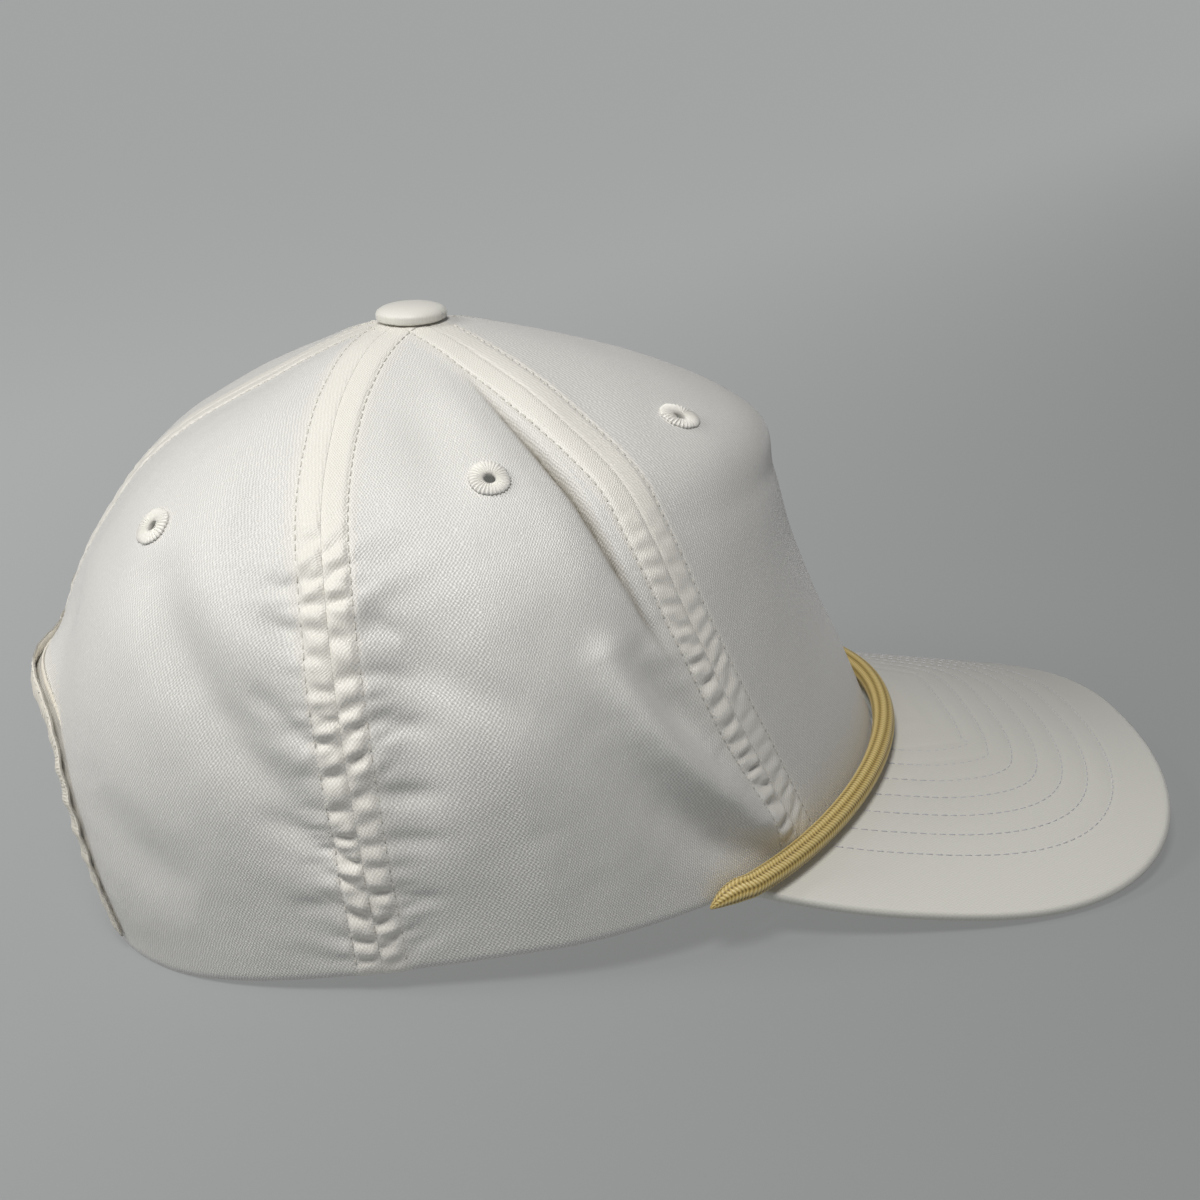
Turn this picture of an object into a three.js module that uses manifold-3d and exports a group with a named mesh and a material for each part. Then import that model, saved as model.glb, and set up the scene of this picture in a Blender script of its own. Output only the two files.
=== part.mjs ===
// A five-panel cap with a rope along the bill, standing on a table by itself.
// Millimetres and degrees. +X is forward over the bill, +Y is the wearer's left and +Z is up.
// The origin is on the table, under the middle of the cap's length and width.
import * as THREE from 'three';
import { mergeVertices } from 'three/addons/utils/BufferGeometryUtils.js';
import Module from 'manifold-3d';

const wasm = await Module();
wasm.setup();

// Level sections of the crown's outer face, from the rim to the apex, at equal steps up the cloth:
// reach forward, back and sideways from the section's centre, the centre's place, and the heights.
const SECTIONS = [
  { front: 86.6, back: 111.5, side: 80.6, centre: 11.4, zFront: 0, zSide: 0, zBack: 0 },
  { front: 84.8, back: 109.8, side: 82.0, centre: 5.2, zFront: 24.3, zSide: 25.0, zBack: 24.3 },
  { front: 80.8, back: 106.0, side: 81.2, centre: 1.1, zFront: 45.8, zSide: 48.5, zBack: 47.1 },
  { front: 77.4, back: 97.6, side: 76.6, centre: -2.1, zFront: 66.7, zSide: 70.9, zBack: 68.7 },
  { front: 75.6, back: 84.7, side: 67.7, centre: -4.5, zFront: 85.7, zSide: 90.6, zBack: 88.1 },
  { front: 73.1, back: 66.3, side: 52.2, centre: -7.2, zFront: 102.8, zSide: 106.8, zBack: 105.2 },
  { front: 43.8, back: 37.6, side: 26.9, centre: -10.7, zFront: 119.7, zSide: 122.9, zBack: 119.3 },
  { front: 0, back: 0, side: 0, centre: -14.4, zFront: 130.9, zSide: 130.9, zBack: 130.9 },
];
const FRONT_SQUARENESS = -0.03;
const BACK_SQUARENESS = 0.223;

// The bill: a piece of a cylinder that slopes forward, and its outline in plan.
const BILL = {
  corner: 61.8, arch: 147, height: 26.1, slope: 9.4, spread: -0.069, spreadLength: 70,
  halfWidth: 74.5, widestX: 90.7, tipX: 171.2, fullness: 2.79, sideShare: 0.75,
  thickness: 3.2, edgeRound: 1.4, end: 0.985,
};
const RIM = { flatFrom: 135, rise: 1.6, fall: 1.5, lift: 1.5 };

// Seams, as the angle from the front at the rim and at the apex, and how far the line bows between.
const FRONT_SEAM = { rim: 48.7, apex: 73.9, bow: -4.1 };
const SIDE_SEAM = { rim: 107.6, apex: 119.1, bow: -6.8 };
const SEAM_BAND = {
  width: 6.0, share: 0.2, inner: 0.4, outer: 0.95, height: 0.45, groove: 0.45, grooveWidth: 1.5, fade: 0.12,
};

// The opening at the back: half its width in degrees, its height up the cloth, and its squareness.
const ARCH = { half: 31, top: 0.358, fullness: 3.5, seamTop: 0.43, steps: 12 };
const FLARE = { out: 4.6, at: 16, spread: 8, depth: 0.13, dip: 0.35, dipAt: 1.3 };

// Thickness of the cloth, and of the stiffened front; the gap between neighbours; where the cloth ends.
const CLOTH = 1.2;
const FRONT_CLOTH = 1.6;
const GAP = 0.3;
const TOP = 0.983;

// Folds of the cloth, the same on both sides: three places along each fold, as degrees from the
// front and share of the way up, then half the fold's width and how far it stands out (minus: in).
const FOLDS = [
  { a: [79.5, 0.870], b: [71.8, 0.693], c: [63.0, 0.450], width: 5.0, out: -2.0 },
  { a: [65.5, 0.400], b: [61.5, 0.300], c: [58.0, 0.225], width: 4.0, out: -3.0 },
  { a: [72.0, 0.410], b: [66.2, 0.264], c: [51.2, 0.034], width: 4.4, out: 5.2 },
  { a: [74.0, 0.310], b: [69.2, 0.160], c: [55.5, 0.010], width: 6.0, out: -2.0 },
  { a: [98.5, 0.600], b: [97.2, 0.420], c: [99.8, 0.250], width: 7.0, out: -1.6 },
  { a: [94.0, 0.830], b: [92.8, 0.780], c: [92.0, 0.720], width: 7.0, out: -1.2 },
  { a: [134.0, 0.570], b: [120.5, 0.400], c: [109.5, 0.195], width: 6.0, out: -4.0 },
  { a: [128.0, 0.620], b: [113.5, 0.450], c: [106.0, 0.320], width: 6.5, out: 1.8 },
  { a: [140.0, 0.270], b: [132.0, 0.180], c: [125.0, 0.130], width: 8.0, out: -1.6 },
  { a: [124.0, 0.760], b: [120.0, 0.680], c: [117.5, 0.600], width: 6.5, out: -1.4 },
];
const FOLD_STEPS = 8;
const CALM_RIM = 0.1;

const EYELETS = [
  { name: 'front', angle: 37.8, up: 0.755, cloth: FRONT_CLOTH },
  { name: 'side', angle: 84.5, up: 0.705, cloth: CLOTH },
  { name: 'back', angle: 143.0, up: 0.642, cloth: CLOTH },
];
const EYELET = { bore: 1.1, neck: 2.2, hole: 2.6, outer: 4.5, inner: 3.6, proud: 0.6, thick: 0.6, sides: 10 };

const ROPE = {
  radius: 2.8, clearance: 0.45, steps: 44, sides: 8, tip: [0.3, 0.55, 0.78, 0.92],
  end: 68.6, endOut: 1.9, endUp: 0.6, tailRise: 0.8, tail: [0.3, 0.6, 0.82, 1],
};
const BUTTON = {
  radius: 8.3, height: 3.8, foot: 7.7, belly: 1.5, shank: 2.0, below: 3.6, seat: 0.4, sides: 22,
  dome: [0.97, 0.85, 0.6, 0.3],
};
const SWEATBAND = { end: 136, foot: 0.006, top: 0.16, footIn: 1.9, topIn: 3.4, thick: 1.0, steps: 40 };
// A tape with two legs, and a closure of two plastic strips that meet at the back.
const BINDING = { thick: 0.65, foot: 0.02, clear: 0.5 };
const BACK_COLUMNS = 8;
const CUTTER = 8;
const STRAP = {
  from: 138, past: 14, low: 1.2, tall: 18, thick: 1.4, outerIn: 2.5, steps: 20,
  pitch: 8, holes: 5, holeR: 2.5, studR: 2.1, studOut: 1.3, sides: 12,
};

const WHITE = { color: 0xd9d8d0, roughness: 0.75, metalness: 0 };
const CREAM = { color: 0xdedbcf, roughness: 0.7, metalness: 0 };
const GOLD = { color: 0xb89a5b, roughness: 0.6, metalness: 0 };
const PLASTIC = { color: 0xdddcd6, roughness: 0.4, metalness: 0 };

const rad = THREE.MathUtils.degToRad;
const vec = (x, y, z) => new THREE.Vector3(x, y, z);
const steps = (n, from, to) => Array.from({ length: n + 1 }, (_, i) => from + ((to - from) * i) / n);

// The section at share v of the way up, by a smooth curve through the table's rows.
function section(v) {
  const last = SECTIONS.length - 1;
  const t = Math.min(Math.max(v, 0), 1) * last;
  const i = Math.min(Math.floor(t), last - 1);
  const u = t - i;
  const value = (key) => {
    const flat = key.startsWith('z') || key === 'centre';
    const at = (k) => {
      if (k < 0) return 2 * SECTIONS[0][key] - SECTIONS[1][key];
      if (k > last) return SECTIONS[last - 1][key] * (flat ? 1 : -1);
      return SECTIONS[k][key];
    };
    const [p, q, r, s] = [at(i - 1), at(i), at(i + 1), at(i + 2)];
    const bend = (2 * p - 5 * q + 4 * r - s) * u ** 2 + (3 * q - p - 3 * r + s) * u ** 3;
    return 0.5 * (2 * q + (r - p) * u + bend);
  };
  return Object.fromEntries(Object.keys(SECTIONS[0]).map((key) => [key, value(key)]));
}

// The place in plan at an angle from the front on a section.
function plan(angle, row) {
  const c = Math.cos(rad(angle));
  const s = Math.sin(rad(angle));
  const reach = c > 0 ? row.front : row.back;
  const square = c > 0 ? FRONT_SQUARENESS : BACK_SQUARENESS;
  return [row.centre + reach * c * (1 + square * s * s), row.side * s * (1 + square * c * c)];
}

// Height of the middle of the bill's thickness.
function billHeight(x, y) {
  const ahead = x - SECTIONS[0].front;
  const drop = BILL.arch - Math.sqrt(BILL.arch ** 2 - y ** 2);
  const narrowing = 1 + (BILL.spread * ahead) / BILL.spreadLength;
  return BILL.height - Math.tan(rad(BILL.slope)) * ahead - drop * narrowing;
}

// The rim follows the bill at the front, then falls to the table, on which it lies at the back.
function rimHeight(angle) {
  const a = Math.abs(angle);
  if (a < BILL.corner) return billHeight(...plan(a, SECTIONS[0]));
  const t = Math.min((a - BILL.corner) / (RIM.flatFrom - BILL.corner), 1);
  return billHeight(...plan(BILL.corner, SECTIONS[0])) * (1 - t ** RIM.rise) ** RIM.fall;
}

// The crown's smooth outer face.
function smooth(angle, v) {
  const row = section(v);
  const [x, y] = plan(angle, row);
  const c = Math.cos(rad(angle));
  const level = row.zSide + ((c > 0 ? row.zFront : row.zBack) - row.zSide) * c * c;
  return vec(x, y, level + rimHeight(angle) * (1 - v) ** RIM.lift);
}

function normalOf(face, angle, v) {
  const across = face(angle + 0.4, v).sub(face(angle - 0.4, v));
  const up = face(angle, Math.min(v + 0.003, 1)).sub(face(angle, Math.max(v - 0.003, 0)));
  return across.cross(up).normalize();
}

const seamAngle = (seam, v) => seam.rim + (seam.apex - seam.rim) * v + seam.bow * 4 * v * (1 - v);
const perDegree = (angle, v) => smooth(angle + 0.5, v).distanceTo(smooth(angle - 0.5, v));

const foldLines = FOLDS.map((fold) => ({
  ...fold,
  line: steps(FOLD_STEPS, 0, 1).map((t) => {
    const pull = (k) => 2 * fold.b[k] - (fold.a[k] + fold.c[k]) / 2;
    const mix = (k) => fold.a[k] * (1 - t) ** 2 + pull(k) * 2 * t * (1 - t) + fold.c[k] * t * t;
    return smooth(mix(0), mix(1));
  }),
}));

// How far the folds push the cloth out at a place: a smooth bump across each fold, that fades at its ends.
function foldsAt(point) {
  const p = vec(point.x, Math.abs(point.y), point.z);
  const segment = new THREE.Line3();
  const near = vec(0, 0, 0);
  return foldLines.reduce((sum, fold) => {
    let best = Infinity;
    let along = 0;
    fold.line.slice(1).forEach((end, i) => {
      segment.set(fold.line[i], end);
      const t = segment.closestPointToPointParameter(p, true);
      const distance = segment.at(t, near).distanceTo(p);
      if (distance < best) {
        best = distance;
        along = (i + t) / FOLD_STEPS;
      }
    });
    return sum + fold.out * Math.exp(-((best / fold.width) ** 2)) * (0.35 + 0.65 * Math.sin(Math.PI * along));
  }, 0);
}

// The pressed seams: a low band with a groove along its middle.
function seamsAt(angle, v) {
  const a = Math.abs(angle);
  const lines = [seamAngle(FRONT_SEAM, v), seamAngle(SIDE_SEAM, v), 180];
  const distance = Math.min(...lines.map((line) => Math.abs(line - a))) * perDegree(a, v);
  const band = SEAM_BAND.height / (1 + (distance / SEAM_BAND.width) ** 8);
  return band - SEAM_BAND.groove * Math.exp(-((distance / SEAM_BAND.grooveWidth) ** 2));
}

// The cloth beside the back opening curls outward on both shoulders, behind a shallow dip.
function flareAt(angle, v) {
  const off = Math.abs(180 - Math.abs(angle));
  const level = ((off / ARCH.half) ** ARCH.fullness + (v / ARCH.top) ** ARCH.fullness) ** (1 / ARCH.fullness);
  const bump = (at) => Math.exp(-(((level - at) / FLARE.depth) ** 2));
  const shoulder = Math.exp(-(((off - FLARE.at) / FLARE.spread) ** 2));
  return FLARE.out * shoulder * (bump(1) - FLARE.dip * bump(FLARE.dipAt));
}

function crown(angle, v) {
  const base = smooth(angle, v);
  const calm = THREE.MathUtils.smoothstep(v, 0, CALM_RIM);
  const folds = calm * (foldsAt(base) + flareAt(angle, v));
  const seams = seamsAt(angle, v) * Math.min(1, (1 - v) / SEAM_BAND.fade);
  return base.addScaledVector(normalOf(smooth, angle, v), folds + seams);
}

// A place on the crown, pushed out along its normal; on the rim it keeps its height.
function onCrown(angle, v, out, face = crown) {
  const point = face(angle, v);
  const pushed = point.clone().addScaledVector(normalOf(face, angle, v), out);
  if (v === 0) pushed.z = point.z;
  return pushed;
}

// One geometry from corners and triangles, turned so that its faces point outwards.
function toGeometry(corners, triangles) {
  let volume = 0;
  triangles.forEach(([a, b, c]) => {
    volume += corners[a].dot(corners[b].clone().cross(corners[c]));
  });
  const order = volume > 0 ? triangles : triangles.map(([a, b, c]) => [a, c, b]);
  const geometry = new THREE.BufferGeometry();
  geometry.setAttribute('position', new THREE.Float32BufferAttribute(corners.flatMap((p) => p.toArray()), 3));
  geometry.setIndex(order.flat());
  return geometry;
}

// A sheet with thickness, from two grids of points of the same size.
function sheet(outer, inner) {
  const rows = outer.length;
  const columns = outer[0].length;
  const corners = [...outer.flat(), ...inner.flat()];
  const at = (side, i, j) => side * rows * columns + i * columns + j;
  const triangles = [];
  const quad = (a, b, c, d) => triangles.push([a, b, c], [a, c, d]);
  for (let i = 0; i < rows - 1; i += 1) {
    for (let j = 0; j < columns - 1; j += 1) {
      quad(at(0, i, j), at(0, i, j + 1), at(0, i + 1, j + 1), at(0, i + 1, j));
      quad(at(1, i, j), at(1, i + 1, j), at(1, i + 1, j + 1), at(1, i, j + 1));
    }
    quad(at(0, i, 0), at(0, i + 1, 0), at(1, i + 1, 0), at(1, i, 0));
    quad(at(0, i + 1, columns - 1), at(0, i, columns - 1), at(1, i, columns - 1), at(1, i + 1, columns - 1));
  }
  for (let j = 0; j < columns - 1; j += 1) {
    quad(at(0, 0, j + 1), at(0, 0, j), at(1, 0, j), at(1, 0, j + 1));
    quad(at(0, rows - 1, j), at(0, rows - 1, j + 1), at(1, rows - 1, j + 1), at(1, rows - 1, j));
  }
  return toGeometry(corners, triangles);
}

// The skin between neighbouring rings of points, each ring closed on itself.
function skinBetween(rings, joins) {
  const n = rings[0].length;
  const triangles = [];
  for (let i = 0; i < joins; i += 1) {
    const next = ((i + 1) % rings.length) * n;
    for (let j = 0; j < n; j += 1) {
      const k = (j + 1) % n;
      triangles.push([i * n + j, i * n + k, next + k], [i * n + j, next + k, next + j]);
    }
  }
  return triangles;
}

// A bar with the same number of points in each cross-section; outline is a flat copy of the section.
function bar(rings, outline) {
  const flat = outline.map(([x, y]) => new THREE.Vector2(x, y));
  const turned = THREE.ShapeUtils.isClockWise(flat);
  const end = (rings.length - 1) * rings[0].length;
  const caps = THREE.ShapeUtils.triangulateShape(flat, []).flatMap(([a, b, c]) => {
    const [p, q] = turned ? [c, b] : [b, c];
    return [[a, q, p], [end + a, end + p, end + q]];
  });
  return toGeometry(rings.flat(), [...skinBetween(rings, rings.length - 1), ...caps]);
}

// A round bar's outline, as a polygon.
const circle = (radius, sides) => steps(sides - 1, 0, 360 - 360 / sides)
  .map((a) => [radius * Math.cos(rad(a)), radius * Math.sin(rad(a))]);

function toSolid(geometry) {
  const bare = new THREE.BufferGeometry();
  bare.setAttribute('position', geometry.getAttribute('position').clone());
  if (geometry.index) bare.setIndex(geometry.index.clone());
  const whole = mergeVertices(bare, 1e-4);
  return new wasm.Manifold(new wasm.Mesh({
    numProp: 3,
    vertProperties: new Float32Array(whole.getAttribute('position').array),
    triVerts: new Uint32Array(whole.index.array),
  }));
}

function fromSolid(solid) {
  const mesh = solid.getMesh();
  const geometry = new THREE.BufferGeometry();
  geometry.setAttribute('position', new THREE.BufferAttribute(new Float32Array(mesh.vertProperties), 3));
  geometry.setIndex(new THREE.BufferAttribute(new Uint32Array(mesh.triVerts), 1));
  return geometry;
}

// A geometry whose Z axis stands on the given place and points along the given direction.
function standing(geometry, place, direction) {
  const turn = new THREE.Quaternion().setFromUnitVectors(vec(0, 0, 1), direction);
  return geometry.applyMatrix4(new THREE.Matrix4().compose(place, turn, vec(1, 1, 1)));
}

const rod = (radius, length, sides) =>
  new THREE.CylinderGeometry(radius, radius, length, sides).rotateX(Math.PI / 2);

// Columns of a panel: close together on the pressed seams, even between them.
function columns(width, between) {
  const band = Math.min(SEAM_BAND.width, width * SEAM_BAND.share);
  const edge = [0, SEAM_BAND.inner * band, SEAM_BAND.outer * band];
  const middle = steps(between, 1.5 * band, width - 1.5 * band);
  return [...edge, ...middle, ...edge.map((d) => width - d).reverse()].map((d) => d / width);
}

// Places along a panel's row, given by the angle and share of the way up at its two ends,
// with its share of the gap at both.
function placesAlong([[first, v], [last, w]], between) {
  const [low, high] = [first + GAP / 2 / perDegree(first, v), last - GAP / 2 / perDegree(last, w)];
  const width = (high - low) * perDegree((low + high) / 2, (v + w) / 2);
  return columns(width, between).map((u) => [low + (high - low) * u, v + (w - v) * u]);
}

function panel(rows, between, cloth) {
  const places = rows.map((row) => placesAlong(row, between));
  const grid = (out) => places.map((row) => row.map(([angle, v]) => onCrown(angle, v, out)));
  return sheet(grid(0), grid(-cloth));
}

function withEyeletHole(geometry, side, eyelet) {
  const [angle, v] = [side * eyelet.angle, eyelet.up];
  const cutter = standing(rod(EYELET.hole, CUTTER, EYELET.sides), crown(angle, v), normalOf(crown, angle, v));
  return toSolid(geometry).subtract(toSolid(cutter));
}

// Places along half the back opening's edge, from its foot to its top on the centre seam.
const archEdge = steps(ARCH.steps, 0, 90).map((turn) => {
  const [c, s] = [Math.cos(rad(turn)), Math.sin(rad(turn))];
  const size = (c ** ARCH.fullness + s ** ARCH.fullness) ** (-1 / ARCH.fullness);
  return [180 - ARCH.half * c * size, ARCH.top * s * size];
});

const upRows = [...steps(13, 0, 0.9), 0.95, TOP];

function frontPanel() {
  const rows = upRows.map((v) => [-1, 1].map((side) => [side * seamAngle(FRONT_SEAM, v), v]));
  let solid = toSolid(panel(rows, 13, FRONT_CLOTH));
  [-1, 1].forEach((side) => {
    solid = withEyeletHole(fromSolid(solid), side, EYELETS[0]);
  });
  return fromSolid(solid);
}

// Rows are turned round on the right side, because angles there are below zero.
const onSide = (side, rows) => (side > 0 ? rows : rows.map((row) => row.map(([a, v]) => [-a, v]).reverse()));

function sidePanel(side) {
  const rows = upRows.map((v) => [[seamAngle(FRONT_SEAM, v), v], [seamAngle(SIDE_SEAM, v), v]]);
  return fromSolid(withEyeletHole(panel(onSide(side, rows), 8, CLOTH), side, EYELETS[1]));
}

// The lower rows run from the side seam to the opening's edge, the upper ones to the centre seam.
const archRows = archEdge.map((end, i) => {
  const v = (ARCH.seamTop * i) / ARCH.steps;
  return [[seamAngle(SIDE_SEAM, v), v], end];
});

function backPanel(side) {
  const upper = [...steps(8, 0, 0.9).slice(1), 0.96, 1].map((t) => {
    const [v, w] = [ARCH.seamTop, ARCH.top].map((start) => start + (TOP - start) * t);
    return [[seamAngle(SIDE_SEAM, v), v], [180, w]];
  });
  const rows = onSide(side, [...archRows, ...upper]);
  return fromSolid(withEyeletHole(panel(rows, BACK_COLUMNS, CLOTH), side, EYELETS[2]));
}

// A stitched ring: a flange on each face of the cloth, bent with it, and a neck through the hole.
function eyelet(side, place) {
  const [angle, v] = [side * place.angle, place.up];
  const perShare = smooth(angle, v + 0.005).distanceTo(smooth(angle, v - 0.005)) / 0.01;
  const top = EYELET.proud + EYELET.thick;
  const low = -place.cloth - EYELET.proud;
  const profile = [
    [EYELET.bore, low - EYELET.thick], [EYELET.inner, low - EYELET.thick], [EYELET.inner, low],
    [EYELET.neck, low], [EYELET.neck, EYELET.proud], [EYELET.outer, EYELET.proud],
    [EYELET.outer - EYELET.thick, top], [EYELET.bore, top],
  ];
  const rings = profile.map(([radius, out]) => circle(radius, EYELET.sides)
    .map(([x, y]) => onCrown(angle + x / perDegree(angle, v), v + y / perShare, out)));
  return toGeometry(rings.flat(), skinBetween(rings, rings.length));
}

// The outer edge of the bill in plan, at share s from the tip (0) to a corner (1 or -1).
function billEdge(s) {
  const a = Math.abs(s);
  const [cornerX, cornerY] = plan(BILL.corner, SECTIONS[0]);
  const turn = rad(90 * Math.min(a / BILL.sideShare, 1));
  if (a <= BILL.sideShare) {
    const x = BILL.widestX + (BILL.tipX - BILL.widestX) * Math.cos(turn) ** (2 / BILL.fullness);
    return [x, Math.sign(s) * BILL.halfWidth * Math.sin(turn) ** (2 / BILL.fullness)];
  }
  const t = (a - BILL.sideShare) / (1 - BILL.sideShare);
  const y = BILL.halfWidth - (BILL.halfWidth - cornerY) * t * t;
  return [BILL.widestX - (BILL.widestX - cornerX) * t, Math.sign(s) * y];
}

function bill() {
  const half = BILL.thickness / 2;
  const place = ([x, y], up) => vec(x, y, billHeight(x, y) + up);
  const rings = steps(36, -BILL.end, BILL.end).map((s) => {
    const rim = onCrown(BILL.corner * s, 0, GAP + SEAM_BAND.height, smooth);
    const start = new THREE.Vector2(rim.x, rim.y);
    const edge = new THREE.Vector2(...billEdge(s));
    const width = start.distanceTo(edge);
    const inset = Math.max(1 - BILL.edgeRound / width, 0.3);
    const between = (t) => start.clone().lerp(edge, t).toArray();
    const shares = steps(4, 0, inset);
    const top = shares.map((t) => place(between(t), half));
    const under = shares.map((t) => place(between(t), -half)).reverse();
    return [...top, place(between(1), half * 0.45), place(between(1), -half * 0.45), ...under];
  });
  const outline = rings[0].map((p) => [p.distanceTo(rings[0][0]), p.z - billHeight(p.x, p.y)]);
  return bar(rings, outline);
}

// The rope's middle line: as far from the front panel as from the bill, and down beside the rim at its ends.
function ropePoint(angle) {
  const a = Math.sign(angle) * Math.min(Math.abs(angle), BILL.corner);
  const foot = smooth(a, 0);
  const wall = normalOf(smooth, a, 0.02);
  const step = 0.5;
  const slopeX = (billHeight(foot.x + step, foot.y) - billHeight(foot.x - step, foot.y)) / (2 * step);
  const slopeY = (billHeight(foot.x, foot.y + step) - billHeight(foot.x, foot.y - step)) / (2 * step);
  const deck = vec(-slopeX, -slopeY, 1).normalize();
  const mix = wall.dot(deck);
  const room = ROPE.radius + ROPE.clearance;
  const overDeck = BILL.thickness / 2 + room;
  const offWall = room + SEAM_BAND.height;
  return foot
    .addScaledVector(deck, (overDeck - offWall * mix) / (1 - mix * mix))
    .addScaledVector(wall, (offWall - overDeck * mix) / (1 - mix * mix));
}

function ropePath() {
  const inner = steps(ROPE.steps, -BILL.corner, BILL.corner).map(ropePoint);
  const tail = (side) => {
    const end = onCrown(side * ROPE.end, 0, ROPE.endOut, smooth).add(vec(0, 0, ROPE.endUp));
    const from = ropePoint(side * BILL.corner);
    const rise = (t) => vec(0, 0, Math.sin(Math.PI * t) * ROPE.tailRise);
    return ROPE.tail.map((t) => from.clone().lerp(end, t).add(rise(t)));
  };
  return [...tail(-1).reverse(), ...inner, ...tail(1)];
}

function rope() {
  const path = ropePath();
  const last = path.length - 1;
  const rings = path.map((p, i) => {
    const along = path[Math.min(i + 1, last)].clone().sub(path[Math.max(i - 1, 0)]).normalize();
    const side = along.clone().cross(vec(0, 0, 1)).normalize();
    const up = side.clone().cross(along);
    const toEnd = Math.min(i, last - i);
    const radius = ROPE.radius * (ROPE.tip[toEnd] ?? 1);
    const place = ([x, y]) => p.clone().addScaledVector(side, x).addScaledVector(up, y);
    return circle(radius, ROPE.sides).map(place);
  });
  return bar(rings, circle(ROPE.radius, ROPE.sides));
}

// The covered button: its underside follows the crown, its shank goes down through the hole at the apex.
function button() {
  const apex = smooth(0, 1);
  const angles = steps(BUTTON.sides - 1, 0, 360 - 360 / BUTTON.sides).map((a) => a - 180);
  const shareAt = (angle, radius) => {
    let [near, far] = [1, 0.8];
    for (let i = 0; i < 30; i += 1) {
      const v = (near + far) / 2;
      const p = smooth(angle, v);
      if (Math.hypot(p.x - apex.x, p.y) < radius) near = v;
      else far = v;
    }
    return near;
  };
  const around = (radius, height) => angles.map((angle) => {
    const p = smooth(angle, shareAt(angle, radius));
    return vec(p.x, p.y, height(p));
  });
  const seat = (lift) => (p) => p.z + BUTTON.seat + SEAM_BAND.height + lift;
  const swell = BUTTON.height - BUTTON.belly;
  const dome = (share) => () => apex.z + BUTTON.belly + swell * Math.sqrt(1 - share * share);
  const rings = [
    around(BUTTON.shank, () => apex.z - BUTTON.below),
    around(BUTTON.shank, seat(0)),
    around(BUTTON.foot, seat(0)),
    around(BUTTON.radius, seat(BUTTON.belly * 0.5)),
    ...BUTTON.dome.map((share) => around(BUTTON.radius * share, dome(share))),
  ];
  return bar(rings, rings[0].map((p) => [p.x, p.y]));
}

function sweatband() {
  const rows = steps(3, 0, 1);
  const inward = (t) => SWEATBAND.footIn + (SWEATBAND.topIn - SWEATBAND.footIn) * t;
  const angles = steps(SWEATBAND.steps, -SWEATBAND.end, SWEATBAND.end);
  const grid = (deeper) => rows.map((t) => angles.map((angle) => {
    const v = SWEATBAND.foot + (SWEATBAND.top - SWEATBAND.foot) * t;
    return onCrown(angle, v, -inward(t) - deeper, smooth);
  }));
  return sheet(grid(0), grid(SWEATBAND.thick));
}

// The tape folded over the edge of the back opening, from one foot of the arch over to the other.
function archBinding() {
  const lifted = archRows.map((row) => row.map(([angle, v]) => [angle, Math.max(v, BINDING.foot)]));
  const left = lifted.map((row) => placesAlong(row, BACK_COLUMNS).slice(-2));
  const right = left.map((ends) => ends.map(([angle, v]) => [-angle, v]));
  const places = [...right, ...left.slice(0, -1).reverse()];
  const points = places.map(([, edge]) => crown(...edge));
  const [t, gap] = [BINDING.thick, BINDING.clear];
  const outline = [
    [-1, gap + t], [gap + t, gap + t], [gap + t, -CLOTH - gap - t], [-1, -CLOTH - gap - t],
    [-1, -CLOTH - gap], [gap, -CLOTH - gap], [gap, gap], [-1, gap],
  ];
  const last = points.length - 1;
  const rings = points.map((p, i) => {
    const [legTip, edge] = places[i];
    const along = points[Math.min(i + 1, last)].clone().sub(points[Math.max(i - 1, 0)]).normalize();
    const out = normalOf(crown, ...edge);
    const toOpening = out.clone().cross(along).normalize();
    return outline.map(([a, b]) => {
      if (a < 0) return onCrown(...legTip, b);
      return p.clone().addScaledVector(toOpening, a).addScaledVector(out, b);
    });
  });
  return bar(rings, outline);
}

// One half of the closure: a strip that follows the rim inside the cloth and crosses the back.
function strapStrip(side, inward) {
  const low = STRAP.low;
  const angles = steps(STRAP.steps, STRAP.from, 180 + STRAP.past);
  const grid = (out) => [low, low + STRAP.tall / 2, low + STRAP.tall].map((z) => angles.map((angle) => {
    const p = onCrown(side * angle, z / (SECTIONS[1].zBack * (SECTIONS.length - 1)), out, smooth);
    return vec(p.x, p.y, z);
  }));
  return toSolid(sheet(grid(-inward), grid(-inward - STRAP.thick)));
}

function onStrap(offset, inward) {
  const v = (STRAP.low + STRAP.tall / 2) / (SECTIONS[1].zBack * (SECTIONS.length - 1));
  const angle = 180 - offset / perDegree(180, v);
  const place = onCrown(angle, v, -inward, smooth).setZ(STRAP.low + STRAP.tall / 2);
  const out = normalOf(smooth, angle, v).setZ(0).normalize();
  return [place, out];
}

const lastHole = (STRAP.holes - 1) / 2;
const fastenerOffsets = steps(STRAP.holes - 1, -lastHole, lastHole).map((k) => k * STRAP.pitch);

function strapWithHoles() {
  let solid = strapStrip(-1, STRAP.outerIn);
  fastenerOffsets.forEach((offset) => {
    const cutter = standing(rod(STRAP.holeR, CUTTER, STRAP.sides), ...onStrap(offset, STRAP.outerIn));
    solid = solid.subtract(toSolid(cutter));
  });
  return fromSolid(solid);
}

function strapWithStuds() {
  const inward = STRAP.outerIn + STRAP.thick + GAP;
  let solid = strapStrip(1, inward);
  const length = STRAP.thick / 2 + GAP + STRAP.thick + STRAP.studOut;
  fastenerOffsets.forEach((offset) => {
    const [place, out] = onStrap(offset, inward + STRAP.thick / 2);
    const stud = standing(rod(STRAP.studR, length, STRAP.sides), place.addScaledVector(out, length / 2), out);
    solid = solid.add(toSolid(stud));
  });
  return fromSolid(solid);
}

const cap = new THREE.Group();

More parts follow.
